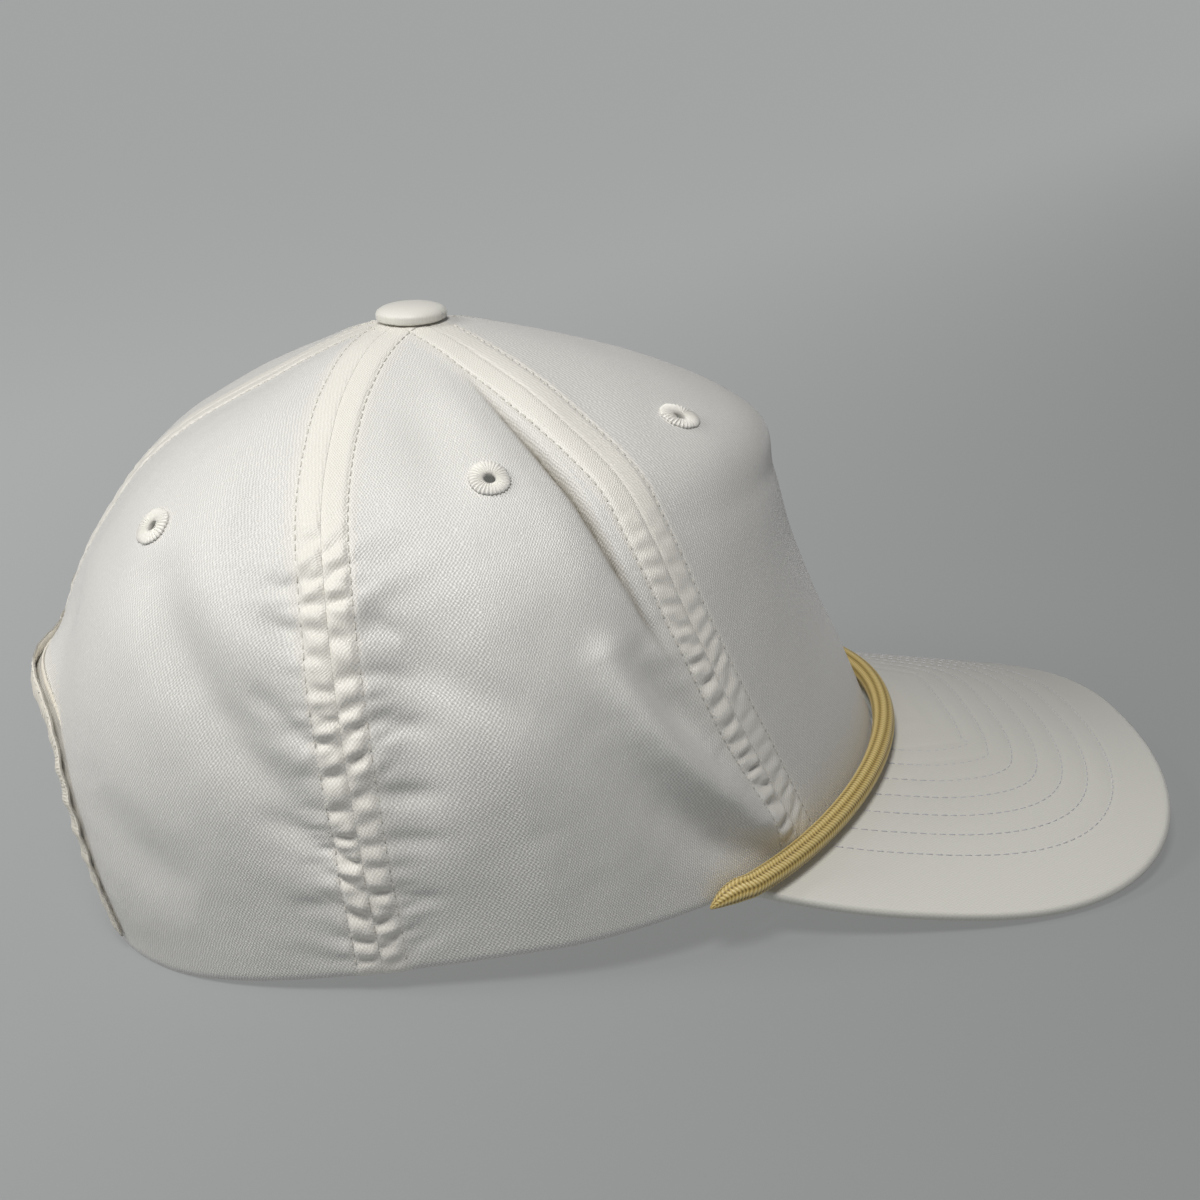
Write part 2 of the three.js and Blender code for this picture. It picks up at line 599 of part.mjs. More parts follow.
function add(name, geometry, look) {
  const mesh = new THREE.Mesh(geometry, new THREE.MeshStandardMaterial(look));
  mesh.name = name;
  cap.add(mesh);
}

add('front_panel', frontPanel(), WHITE);
add('bill', bill(), WHITE);
add('rope', rope(), GOLD);
add('button', button(), WHITE);
add('sweatband', sweatband(), CREAM);
add('arch_binding', archBinding(), CREAM);
add('strap_right', strapWithHoles(), PLASTIC);
add('strap_left', strapWithStuds(), PLASTIC);
[['right', -1], ['left', 1]].forEach(([name, side]) => {
  add(`side_panel_${name}`, sidePanel(side), WHITE);
  add(`back_panel_${name}`, backPanel(side), WHITE);
  EYELETS.forEach((place) => add(`eyelet_${place.name}_${name}`, eyelet(side, place), CREAM));
});

const box = new THREE.Box3().setFromObject(cap);
cap.position.x = -(box.min.x + box.max.x) / 2;

export default cap;
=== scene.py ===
import bmesh
import bpy
import numpy as np
from mathutils import Matrix, Vector


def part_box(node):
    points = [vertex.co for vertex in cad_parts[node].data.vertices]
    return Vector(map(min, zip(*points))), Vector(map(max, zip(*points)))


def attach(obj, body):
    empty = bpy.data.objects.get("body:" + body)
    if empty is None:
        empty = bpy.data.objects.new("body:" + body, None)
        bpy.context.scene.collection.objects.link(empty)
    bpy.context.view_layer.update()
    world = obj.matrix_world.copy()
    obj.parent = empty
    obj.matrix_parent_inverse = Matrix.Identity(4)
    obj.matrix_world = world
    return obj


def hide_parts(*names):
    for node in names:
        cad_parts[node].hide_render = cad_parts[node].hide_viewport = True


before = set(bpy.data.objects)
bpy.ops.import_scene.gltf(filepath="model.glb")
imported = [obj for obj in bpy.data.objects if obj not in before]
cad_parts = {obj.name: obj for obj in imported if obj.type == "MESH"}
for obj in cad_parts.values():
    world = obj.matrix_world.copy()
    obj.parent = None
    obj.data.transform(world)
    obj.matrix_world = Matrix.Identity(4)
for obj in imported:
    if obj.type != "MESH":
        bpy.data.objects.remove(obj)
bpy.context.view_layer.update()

# The stiffened front panel
# One piece of white woven polyester over a stiff backing, cut wide and sewn to a side panel on each
# side. The crown's whole outer face is worked out here, because the five panels are one surface:
# angles are degrees from the front, positive to the wearer's left, and v is the share of the way up.
# Lengths are in millimetres until a mesh is made. These tables are the ones of the CAD model.
SECTIONS = np.array([
    # reach forward, back and sideways, centre, heights at the front, side and back
    [86.6, 111.5, 80.6, 11.4, 0.0, 0.0, 0.0],
    [84.8, 109.8, 82.0, 5.2, 24.3, 25.0, 24.3],
    [80.8, 106.0, 81.2, 1.1, 45.8, 48.5, 47.1],
    [77.4, 97.6, 76.6, -2.1, 66.7, 70.9, 68.7],
    [75.6, 84.7, 67.7, -4.5, 85.7, 90.6, 88.1],
    [73.1, 66.3, 52.2, -7.2, 102.8, 106.8, 105.2],
    [43.8, 37.6, 26.9, -10.7, 119.7, 122.9, 119.3],
    [0.0, 0.0, 0.0, -14.4, 130.9, 130.9, 130.9],
])
SQUARENESS = {"front": -0.03, "back": 0.223}
BILL = {"corner": 61.8, "arch": 147.0, "height": 26.1, "slope": 9.4, "spread": -0.069, "length": 70.0}
RIM = {"flat_from": 135.0, "rise": 1.6, "fall": 1.5, "lift": 1.5}
SEAMS = {"front": (48.7, 73.9, -4.1), "side": (107.6, 119.1, -6.8), "centre": (180.0, 180.0, 0.0)}
ARCH = {"half": 31.0, "top": 0.358, "fullness": 3.5, "seam_top": 0.43}
FLARE = {"out": 4.6, "at": 16.0, "spread": 8.0, "depth": 0.13, "dip": 0.35, "dip_at": 1.3}
TOP = 0.983
GAP = 0.05
APEX_X = SECTIONS[-1, 3]
SHIFT = sum(corner[0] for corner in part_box("button")) * 500.0 - APEX_X

FOLDS = np.array([
    # three places along each fold as degrees from the front and share of the way up,
    # half the fold's width, and how far it stands out
    [79.5, 0.870, 71.8, 0.693, 63.0, 0.450, 5.0, -2.0],
    [65.5, 0.400, 61.5, 0.300, 58.0, 0.225, 4.0, -3.0],
    [72.0, 0.410, 66.2, 0.264, 51.2, 0.034, 4.4, 5.2],
    [74.0, 0.310, 69.2, 0.160, 55.5, 0.010, 6.0, -2.0],
    [98.5, 0.600, 97.2, 0.420, 99.8, 0.250, 7.0, -1.6],
    [94.0, 0.830, 92.8, 0.780, 92.0, 0.720, 7.0, -1.2],
    [134.0, 0.570, 120.5, 0.400, 109.5, 0.195, 6.0, -4.0],
    [128.0, 0.620, 113.5, 0.450, 106.0, 0.320, 6.5, 1.8],
    [140.0, 0.270, 132.0, 0.180, 125.0, 0.130, 8.0, -1.6],
    [124.0, 0.760, 120.0, 0.680, 117.5, 0.600, 6.5, -1.4],
])
CREASES = np.array([
    # the sharp line at the bottom of the tuck and the ridge beside it, too narrow for the CAD model
    [79.5, 0.870, 71.8, 0.693, 60.3, 0.365, 0.8, -2.4],
    [77.5, 0.870, 69.6, 0.693, 58.6, 0.365, 2.0, 0.7],
])
DRAGS = np.array([
    # short soft folds beside the side seam, where single puckers pull on the cloth, and two longer
    # ones that run on from them
    [103.6, 0.520, 101.1, 0.503, 98.5, 0.480, 2.4, -1.3],
    [103.2, 0.448, 100.8, 0.431, 98.0, 0.422, 2.2, -0.9],
    [103.6, 0.372, 100.6, 0.363, 97.0, 0.352, 2.6, -1.4],
    [103.9, 0.280, 101.1, 0.264, 97.0, 0.262, 2.6, -1.4],
    [103.6, 0.206, 100.6, 0.196, 97.5, 0.196, 2.4, -0.9],
    [104.4, 0.119, 102.0, 0.111, 99.0, 0.104, 2.2, -0.8],
    [108.2, 0.340, 110.7, 0.379, 115.5, 0.428, 2.6, -1.5],
    [108.6, 0.474, 111.6, 0.503, 115.5, 0.525, 2.4, -1.3],
    [109.2, 0.550, 112.6, 0.562, 116.5, 0.580, 2.2, -0.9],
    [107.2, 0.184, 110.7, 0.210, 115.5, 0.252, 2.8, -1.5],
    [108.2, 0.110, 110.5, 0.112, 114.0, 0.118, 2.4, -0.8],
    [101.6, 0.489, 95.5, 0.422, 86.5, 0.340, 5.0, -1.3],
    [94.5, 0.400, 90.0, 0.300, 88.0, 0.180, 8.0, 0.9],
])


def section(v):
    """Catmull-Rom curve through the rows of the table, which stand at equal steps of v."""
    mirrored = SECTIONS[-2] * np.array([-1, -1, -1, 1, 1, 1, 1])
    rows = np.vstack([2 * SECTIONS[0] - SECTIONS[1], SECTIONS, mirrored])
    t = np.clip(v, 0, 1) * (len(SECTIONS) - 1)
    i = np.minimum(t.astype(int), len(SECTIONS) - 2)
    u = (t - i)[..., None]
    p, q, r, s = (rows[i + k] for k in range(4))
    return 0.5 * (2 * q + (r - p) * u + (2 * p - 5 * q + 4 * r - s) * u**2 + (3 * q - p - 3 * r + s) * u**3)


def plan(angle, row):
    """An ellipse about the section's centre, pushed out towards its corners by the squareness."""
    c, s = np.cos(np.radians(angle)), np.sin(np.radians(angle))
    reach = np.where(c > 0, row[..., 0], row[..., 1])
    square = np.where(c > 0, SQUARENESS["front"], SQUARENESS["back"])
    return row[..., 3] + reach * c * (1 + square * s * s), row[..., 2] * s * (1 + square * c * c)


def bill_height(x, y):
    """A straight slope forward, less the drop of a circular arch to both sides."""
    ahead = x - SECTIONS[0, 0]
    drop = BILL["arch"] - np.sqrt(BILL["arch"] ** 2 - y**2)
    fall = np.tan(np.radians(BILL["slope"])) * ahead
    return BILL["height"] - fall - drop * (1 + BILL["spread"] * ahead / BILL["length"])


def rim_height(angle):
    """The bill's height up to its corner, and from there a smooth fall to the table."""
    a = np.abs(angle)
    t = np.clip((a - BILL["corner"]) / (RIM["flat_from"] - BILL["corner"]), 0, 1)
    at_bill = bill_height(*plan(np.minimum(a, BILL["corner"]), SECTIONS[0]))
    return at_bill * (1 - t ** RIM["rise"]) ** RIM["fall"]


def smooth(angle, v):
    """The section's place in plan, its height between front, side and back by the square of the
    cosine, and the rim's own height, which fades upwards."""
    row = section(v)
    x, y = plan(angle, row)
    c = np.cos(np.radians(angle))
    level = row[..., 5] + (np.where(c > 0, row[..., 4], row[..., 6]) - row[..., 5]) * c * c
    return np.stack([x, y, level + rim_height(angle) * (1 - v) ** RIM["lift"]], -1)


def unit(vectors):
    """The same directions with length one."""
    return vectors / np.maximum(np.linalg.norm(vectors, axis=-1, keepdims=True), 1e-9)


def normal_of(face, angle, v):
    """The cross product of the face's step across and its step up."""
    across = face(angle + 0.4, v) - face(angle - 0.4, v)
    up = face(angle, np.minimum(v + 0.003, 1)) - face(angle, np.maximum(v - 0.003, 0))
    return unit(np.cross(across, up))


def seam_angle(seam, v):
    """A straight line in angle from the rim to the apex, with a parabola's bow."""
    rim, apex, bow = SEAMS[seam]
    return rim + (apex - rim) * v + bow * 4 * v * (1 - v)


def per_degree(angle, v):
    """How many millimetres along the crown one degree is."""
    return np.linalg.norm(smooth(angle + 0.5, v) - smooth(angle - 0.5, v), axis=-1)


def lengths(line):
    """The length along a line of points up to each of them."""
    return np.concatenate([[0], np.cumsum(np.linalg.norm(np.diff(line, axis=0), axis=1))])


def along_line(points, line):
    """Each point's distance to the nearest place on a line of points, and that place's length
    along the line."""
    flat = points.reshape(-1, 1, 3)
    step = np.diff(line, axis=0)
    squared = (step**2).sum(axis=1)
    t = np.clip(np.einsum("nmk,mk->nm", flat - line[:-1], step) / squared, 0, 1)
    distance = np.linalg.norm(flat - line[:-1] - t[..., None] * step, axis=2)
    nearest = distance.argmin(axis=1)
    row = np.arange(len(flat))
    along = lengths(line)[nearest] + t[row, nearest] * np.sqrt(squared)[nearest]
    return distance[row, nearest].reshape(points.shape[:-1]), along.reshape(points.shape[:-1])


def fold_relief(points, table, power=2, ends=0.35, steps=8):
    """For each fold, a bell across its line, or a pointed crease where power is 1, highest in the
    middle of its length and down to a share of that at its ends. The line is the parabola through
    its three places, alike on both sides of the cap."""
    mirrored = points * np.array([1, np.nan, 1])
    mirrored[..., 1] = np.abs(points[..., 1])
    t = np.linspace(0, 1, steps + 1)
    total = np.zeros(points.shape[:-1])
    for row in table:
        a, b, c = row[0:2], row[2:4], row[4:6]
        pull = 2 * b - (a + c) / 2
        places = np.outer((1 - t) ** 2, a) + np.outer(2 * t * (1 - t), pull) + np.outer(t**2, c)
        line = smooth(places[:, 0], places[:, 1])
        distance, at = along_line(mirrored, line)
        swell = ends + (1 - ends) * np.sin(np.pi * at / lengths(line)[-1])
        total += row[7] * np.exp(-((distance / row[6]) ** power)) * swell
    return total


def flare_relief(angle, v):
    """Beside the back opening, a bell along its outline on both shoulders, behind a shallow dip."""
    off = np.abs(180 - np.abs(angle))
    full = ARCH["fullness"]
    level = ((off / ARCH["half"]) ** full + (v / ARCH["top"]) ** full) ** (1 / full)
    bell, dip = (np.exp(-(((level - at) / FLARE["depth"]) ** 2)) for at in (1, FLARE["dip_at"]))
    shoulder = np.exp(-(((off - FLARE["at"]) / FLARE["spread"]) ** 2))
    return FLARE["out"] * shoulder * (bell - FLARE["dip"] * dip)


RIPPLES = [
    # wavelength, height, number of directions
    (38.0, 0.22, 5),
    (17.0, 0.09, 7),
    (8.0, 0.03, 9),
]
STIFF = {"edge": 12.0, "calmer": 0.6}
HEM = {"tall": 2.0, "deep": 0.5, "level": 0.02}
CALM_RIM = 0.1


def ripple_relief(points):
    """The slackness of worn cloth: for each wavelength, sine waves in a few fixed directions."""
    random = np.random.default_rng(7)
    total = np.zeros(points.shape[:-1])
    for wavelength, height, count in RIPPLES:
        directions = unit(random.normal(size=(count, 3))) * 2 * np.pi / wavelength
        starts = random.uniform(0, 2 * np.pi, count)
        total += height * np.sin(points @ directions.T + starts).sum(-1) / np.sqrt(count)
    return total


# A seam is pressed open and stitched down on both sides. Its band stands up a little, is sunk along
# the middle and under both rows of stitches, and is gathered into puckers where the cloth is eased in.
SEAM_ROW = 5.5
BAND = {"width": 6.0, "height": 0.45, "groove": 0.16, "groove_width": 0.5, "row": 0.28, "row_width": 0.5}
PUCKERS = {
    # seam: height behind and ahead of the seam, share of the way up where they start and end,
    # spacing in mm, height of the longer waves beside the band behind and ahead, their spacing,
    # and how much of the bumps goes on beside the band
    "front": (0.95, 0.45, 0.02, 0.56, 4.8, 0.1, 0.0, 11.0, 0.1),
    "side": (1.4, 1.3, 0.0, 0.62, 6.3, 0.35, 0.3, 13.5, 0.35),
    "centre": (0.3, 0.3, 0.36, 0.75, 5.5, 0.1, 0.1, 12.0, 0.2),
}
SEAM_LINES = {name: smooth(seam_angle(name, np.linspace(0, 1, 61)), np.linspace(0, 1, 61)) for name in SEAMS}


def seam_place(seam, points):
    """Distance to a seam, below zero in front of it, and the length along it from the rim."""
    mirrored = np.stack([points[..., 0], np.abs(points[..., 1]), points[..., 2]], -1)
    return along_line(mirrored, SEAM_LINES[seam])


def pucker_relief(seam, side, distance, s, v, hand):
    """Rounded bumps with narrow valleys along each half of the band, leaning away from the seam's
    middle, and longer waves beside the band that die out in the cloth. Slow sine waves along the
    seam make their spacing, height and lean uneven."""
    behind, ahead, low, high, pitch, drag_behind, drag_ahead, drag_pitch, beyond = PUCKERS[seam]
    height = np.where(side > 0, behind, ahead)
    drag = np.where(side > 0, drag_behind, drag_ahead)
    fade = np.clip((v - low) / 0.04, 0, 1) * np.clip((high - v) / 0.16 + 0.5, 0, 1)
    turn = 1.7 * side + 2.3 * hand
    uneven = 1.2 * np.sin(s / 9.7 + turn) + 0.8 * np.sin(s / 4.3 + 2 * turn)
    lean = 0.3 + 0.35 * np.sin(s / 7.1 + 3 * turn)
    phase = 2 * np.pi * (s - lean * distance) / pitch + uneven + turn
    bump = np.sqrt(np.cos(phase / 2) ** 2 + 0.015) - 0.45
    bump += 0.2 * np.sin(1.71 * phase + 0.9 * distance) * np.sin(s / 11.3 + 1.5 * turn)
    strength = 1 + 0.2 * np.sin(s / 13.0 + turn) + 0.25 * np.sin(s / 5.9 + 2 * turn)
    band = np.clip(1 - (np.abs(distance - SEAM_ROW / 2) / (SEAM_ROW / 2)) ** 4, 0, 1)
    past = np.maximum(distance - SEAM_ROW, 0)
    beside = beyond * (past / 1.6) * np.exp(1 - past / 1.6)
    wave = np.sin(2 * np.pi * (s - 0.5 * distance) / drag_pitch + uneven + turn)
    wave *= 0.6 + 0.4 * np.sin(s / 17.0 + turn)
    waves = drag * wave * (past / 4) * np.exp(1 - past / 4)
    return fade * (height * strength * bump * (band + beside) + waves)


def seams_relief(angle, v, points):
    """The sum over the three kinds of seam of a flat-topped band, its grooves and its puckers, and
    how far each point belongs to a band."""
    total = np.zeros(points.shape[:-1])
    warm = np.zeros(points.shape[:-1])
    hand = np.sign(angle)
    for seam in SEAMS:
        distance, s = seam_place(seam, points)
        side = np.sign(np.abs(angle) - seam_angle(seam, v)) if seam != "centre" else -hand
        band = 1 / (1 + (distance / BAND["width"]) ** 8)
        total += BAND["height"] * band - BAND["groove"] * np.exp(-((distance / BAND["groove_width"]) ** 2))
        total -= BAND["row"] * np.exp(-(((distance - SEAM_ROW) / BAND["row_width"]) ** 2))
        total += pucker_relief(seam, side, distance, s, v, hand)
        warm = np.maximum(warm, band)
    return total * np.minimum(1, (1 - v) / 0.12), warm


def cloth(angle, v):
    """The crown's outer face: the smooth face pushed out along its normal by all reliefs. At the
    rim the cloth turns in over two millimetres, as a quarter circle does."""
    base = smooth(angle, v)
    t = np.clip(v / CALM_RIM, 0, 1)
    folds = fold_relief(base, FOLDS) + fold_relief(base, DRAGS, ends=0.2) + flare_relief(angle, v)
    creases = fold_relief(base, CREASES, power=1, ends=0.0)
    to_seam = (seam_angle("front", v) - np.abs(angle)) * per_degree(angle, v)
    slack = 1 - STIFF["calmer"] * np.clip(to_seam / STIFF["edge"], 0, 1)
    up = base[..., 2] - smooth(angle, np.zeros_like(v))[..., 2]
    hem = HEM["deep"] * np.clip(1 - up / HEM["tall"], 0, 1) ** 2
    out = t * t * (3 - 2 * t) * (folds + creases + ripple_relief(base) * slack)
    out += seams_relief(angle, v, base)[0] - hem
    normal = normal_of(smooth, angle, v)
    normal[..., 2] *= np.clip(v / HEM["level"], 0, 1)
    return base + normal * out[..., None]


def skin(name, points, uv=None, closed=False, caps=False, turned=False, keep=None, **attributes):
    """A mesh object of quads over a grid of points in mm. closed joins the last column to the
    first, caps closes the first and last row, turned reverses the faces and keep drops some."""
    rows, columns = points.shape[:2]
    wide = columns if closed else columns - 1
    i, j = np.meshgrid(np.arange(rows - 1), np.arange(wide), indexing="ij")
    corners = [(i, j), (i, j + 1), (i + 1, j + 1), (i + 1, j)]
    faces = np.stack([a * columns + b % columns for a, b in corners], -1).reshape(-1, 4)
    spots = np.stack([a * (wide + 1) + b for a, b in corners], -1).reshape(-1, 4)
    if keep is not None:
        faces, spots = faces[keep.ravel()], spots[keep.ravel()]
    if turned:
        faces, spots = faces[:, ::-1], spots[:, ::-1]
    quads = faces.tolist()
    if caps:
        first, last = list(range(columns)), list(range((rows - 1) * columns, rows * columns))
        quads += [first, last[::-1]] if turned else [first[::-1], last]
    mesh = bpy.data.meshes.new(name)
    metres = (points.reshape(-1, 3) + [SHIFT, 0, 0]) / 1000
    mesh.from_pydata(metres.tolist(), [], quads)
    if uv is not None:
        layer = mesh.uv_layers.new(name="cloth")
        flat = np.zeros((len(mesh.loops), 2))
        flat[: spots.size] = uv.reshape(-1, 2)[spots.ravel()]
        layer.data.foreach_set("uv", flat.ravel())
    for key, values in attributes.items():
        mesh.attributes.new(key, "FLOAT", "POINT").data.foreach_set("value", values.ravel())
    mesh.polygons.foreach_set("use_smooth", [True] * len(mesh.polygons))
    piece = bpy.data.objects.new(name, mesh)
    bpy.context.collection.objects.link(piece)
    return piece


def thicken(piece, thickness):
    """Gives a sheet its thickness, inwards from its outer face, drops points that no face uses and
    marks the edges of one face only as sharp, so that the sheet's rim doesn't shade its face."""
    mesh = piece.data
    work = bmesh.new()
    work.from_mesh(mesh)
    bmesh.ops.delete(work, geom=[point for point in work.verts if not point.link_faces], context="VERTS")
    work.to_mesh(mesh)
    work.free()
    sides = np.zeros(len(mesh.loops), int)
    mesh.loops.foreach_get("edge_index", sides)
    single = np.bincount(sides, minlength=len(mesh.edges)) == 1
    mesh.attributes.new("sharp_edge", "BOOLEAN", "EDGE").data.foreach_set("value", single)
    solid = piece.modifiers.new("thickness", "SOLIDIFY")
    solid.thickness, solid.offset, solid.use_even_offset = thickness / 1000, -1, False


EYELETS = {"front": (37.8, 0.755), "side": (84.5, 0.705), "back": (143.0, 0.642)}
EYELET_HOLE = 2.0
CLOTH = {"front": 1.6, "side": 1.2, "back": 1.2}
SHADED_CREASE = 1.8


def eyelet_holes(points, kind, sides):
    """Which faces stay round the eyelets, and the points with the hole's edge moved onto a circle."""
    middles = (points[:-1, :-1] + points[1:, :-1] + points[:-1, 1:] + points[1:, 1:]) / 4
    keep = np.ones(middles.shape[:2], bool)
    for side in sides:
        angle, v = EYELETS[kind]
        centre = cloth(np.array([side * angle]), np.array([v]))[0]
        hole = np.linalg.norm(middles - centre, axis=-1) < EYELET_HOLE
        keep &= ~hole
        near = np.zeros((2,) + points.shape[:2], bool)
        for a, b in ((0, 0), (1, 0), (0, 1), (1, 1)):
            near[0, a:a + hole.shape[0], b:b + hole.shape[1]] |= hole
            near[1, a:a + hole.shape[0], b:b + hole.shape[1]] |= ~hole
        edge = near.all(axis=0)
        reach = points[edge] - centre
        points[edge] = centre + reach * EYELET_HOLE / np.linalg.norm(reach, axis=-1, keepdims=True)
    return points, keep


def columns(width, fine=0.45, coarse=1.0, band=12.0):
    """Shares across a panel: close together within the bands of its two seams, wider between."""
    side = np.arange(0, band, fine)
    middle = np.linspace(band, width - band, int((width - 2 * band) / coarse) + 1)
    return np.concatenate([side, middle, width - side[::-1]]) / width


def crown_panel(name, first, last, kind, sides, width):
    """A grid from one seam to the other: first and last are the angle and share up at both ends of
    each row, and each row is a straight line in both. The weave follows the panel's middle line."""
    u = columns(width)[None, :]
    ends = []
    for (angle, v), inward in ((first, 1), (last, -1)):
        ends.append((angle + inward * GAP / 2 / per_degree(angle, v), v))
    (a0, v0), (a1, v1) = ends
    angle = a0[:, None] + (a1 - a0)[:, None] * u
    v = v0[:, None] + (v1 - v0)[:, None] * u
    points = cloth(angle, v)
    base = smooth(angle, v)
    band = seams_relief(angle, v, base)[1]
    # Painted shade: how strongly the bottom of the tuck's sharp crease is darkened brown, fully on its line.
    crease_shade = np.clip(-fold_relief(base, CREASES[:1], power=1, ends=0.0) / SHADED_CREASE, 0, 1)
    middle = np.mean(angle)
    up = np.linspace(0, 1, 200)
    climb = np.interp(v, up, lengths(smooth(middle, up)))
    uv = np.stack([(angle - middle) * per_degree(np.full_like(v, middle), v), climb], -1)
    points, keep = eyelet_holes(points, kind, sides)
    piece = skin(name, points, uv=uv, keep=keep, warm=band, shade=crease_shade)
    thicken(piece, CLOTH[kind])
    return piece


def even_rows(seam, spacing=0.85):
    """Shares of the way up at even lengths along a seam."""
    v = np.linspace(0, TOP, 400)
    length = lengths(smooth(seam_angle(seam, v), v))
    return np.interp(np.linspace(0, length[-1], int(length[-1] / spacing) + 1), length, v)


def linear(colour):
    """An sRGB hex colour as linear red, green, blue and alpha."""
    srgb = [int(colour[i:i + 2], 16) / 255 for i in (0, 2, 4)]
    return [c / 12.92 if c <= 0.04045 else ((c + 0.055) / 1.055) ** 2.4 for c in srgb] + [1.0]


def feed(material, node, **inputs):
    """Sets a node's sockets, by number as i0 or by name, to values or to what feeds them."""
    for key, value in inputs.items():
        socket = node.inputs[int(key[1:]) if key[1:].isdigit() else key.replace("_", " ")]
        if isinstance(value, bpy.types.NodeSocket):
            material.node_tree.links.new(value, socket)
        else:
            socket.default_value = value


def add_node(material, kind, settings=None, **inputs):
    """Adds a node; settings are its properties, inputs its sockets' values or what feeds them."""
    made = material.node_tree.nodes.new(kind)
    for key, value in (settings or {}).items():
        setattr(made, key, value)
    feed(material, made, **inputs)
    return made


def new_material(name):
    """A material with an empty Principled shader, and that shader."""
    material = bpy.data.materials.new(name)
    material.use_nodes = True
    return material, material.node_tree.nodes["Principled BSDF"]


MULTIPLY = {"operation": "MULTIPLY"}
MULTIPLY_ADD = {"operation": "MULTIPLY_ADD"}
COLOURS = {"data_type": "RGBA"}


def woven(name, light, dark, warm, pitch, depth, roughness, sheen):
    """Plain-woven cloth: rows of little lumps where threads cross, each row shifted by half a lump,
    from the product of two sines, made uneven by noise. Lumps are lighter than the holes between
    them, which carry painted shade, sewn bands are a little warmer and smoother, and the bottom of
    the tuck's sharp crease is darkened brown with painted shade."""
    material, shader = new_material(name)
    place = add_node(material, "ShaderNodeUVMap", {"uv_map": "cloth"}).outputs[0]
    wander = add_node(material, "ShaderNodeTexNoise", Vector=place, Scale=0.7, Detail=1.0)
    shifted = add_node(material, "ShaderNodeVectorMath", MULTIPLY_ADD,
                       i0=wander.outputs[1], i1=(1.2 * pitch, 1.2 * pitch, 0.0), i2=place)
    split = add_node(material, "ShaderNodeSeparateXYZ", Vector=shifted.outputs[0])
    waves = []
    for axis, period in ((0, pitch), (1, 1.87 * pitch)):
        turn = add_node(material, "ShaderNodeMath", MULTIPLY, i0=split.outputs[axis], i1=2 * np.pi / period)
        wave = add_node(material, "ShaderNodeMath", {"operation": "SINE"}, i0=turn.outputs[0])
        waves.append(wave.outputs[0])
    lumps = add_node(material, "ShaderNodeMath", MULTIPLY, i0=waves[0], i1=waves[1])
    slubs = add_node(material, "ShaderNodeTexNoise", Vector=place, Scale=1.1, Detail=3.0, Roughness=0.6)
    band = add_node(material, "ShaderNodeAttribute", {"attribute_name": "warm"}).outputs["Fac"]
    flatter = add_node(material, "ShaderNodeMath", MULTIPLY_ADD, i0=band, i1=-0.2, i2=1.8)
    strong = add_node(material, "ShaderNodeMath", MULTIPLY, i0=slubs.outputs[0], i1=flatter.outputs[0])
    uneven = add_node(material, "ShaderNodeMath", MULTIPLY, i0=lumps.outputs[0], i1=strong.outputs[0])
    height = add_node(material, "ShaderNodeMath", MULTIPLY_ADD,
                      i0=slubs.outputs[0], i1=0.9, i2=uneven.outputs[0]).outputs[0]
    bump = add_node(material, "ShaderNodeBump", Height=height, Strength=1.0, Distance=depth / 1000)
    # Painted shade: the holes between the lumps are darker than the lumps, by the same height that makes the
    # bumps.
    share = add_node(material, "ShaderNodeMapRange", Value=height, From_Min=-0.5, From_Max=1.3)
    weave_with_hole_shade = add_node(material, "ShaderNodeMix", COLOURS,
                     Factor=share.outputs[0], i6=linear(dark), i7=linear(light))
    soft = add_node(material, "ShaderNodeMath", MULTIPLY, i0=band, i1=0.6)
    sewn = add_node(material, "ShaderNodeMix", COLOURS,
                    Factor=soft.outputs[0], i6=weave_with_hole_shade.outputs[2], i7=linear(warm))
    # Painted shade: a brown darkening at the bottom of the tuck's sharp crease, where the fold is in shadow.
    crease_shade = add_node(material, "ShaderNodeAttribute", {"attribute_name": "shade"})
    deep = add_node(material, "ShaderNodeMix", COLOURS,
                    Factor=crease_shade.outputs["Fac"], i6=sewn.outputs[2], i7=linear("857e70"))
    feed(material, shader, Base_Color=deep.outputs[2], Normal=bump.outputs[0], Roughness=roughness,
         Sheen_Weight=sheen, Sheen_Roughness=0.4, IOR=1.5)
    return material


# Woven polyester, a fine bright-white plain weave with a soft sheen. Its threads are 0.3 mm apart,
# too fine to show, so the weave is drawn at 0.6 mm.
white_polyester = woven("woven_polyester_white", "f4f3ef", "c3c2be", "f2eee4", 0.6, 0.05, 0.44, 0.25)

rows = even_rows("front")
edge = seam_angle("front", rows)
front = crown_panel("front_cloth", (-edge, rows), (edge, rows), "front", (-1, 1), 165.0)
front.data.materials.append(white_polyester)
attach(front, "root")
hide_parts("front_panel")

# The two side panels
# Softer pieces of the same white polyester, with no backing, so they fold where the eased seams pull
# on them. Each is sewn to the front panel along one edge and to a back panel along the other.
for name, side in (("right", -1), ("left", 1)):
    rows = even_rows("side")
    near, far = seam_angle("front", rows), seam_angle("side", rows)
    edges = ((near, rows), (far, rows)) if side > 0 else ((-far, rows), (-near, rows))
    panel = crown_panel(f"side_cloth_{name}", *edges, "side", (side,), 80.0)
    panel.data.materials.append(white_polyester)
    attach(panel, "root")
    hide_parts(f"side_panel_{name}")

# The two back panels
# The same white polyester, joined on the centre seam above the opening and cut away below it. The
# lower rows of each grid fan out from the side seam to the opening's edge.


def arch_edge(turn):
    """The opening's outline on the left half: a squared-off ellipse in angle and share of the way
    up, from its foot at 0 degrees to its top on the centre seam at 90."""
    c, s = np.cos(np.radians(turn)), np.sin(np.radians(turn))
    size = (c ** ARCH["fullness"] + s ** ARCH["fullness"]) ** (-1 / ARCH["fullness"])
    return 180 - ARCH["half"] * c * size, ARCH["top"] * s * size


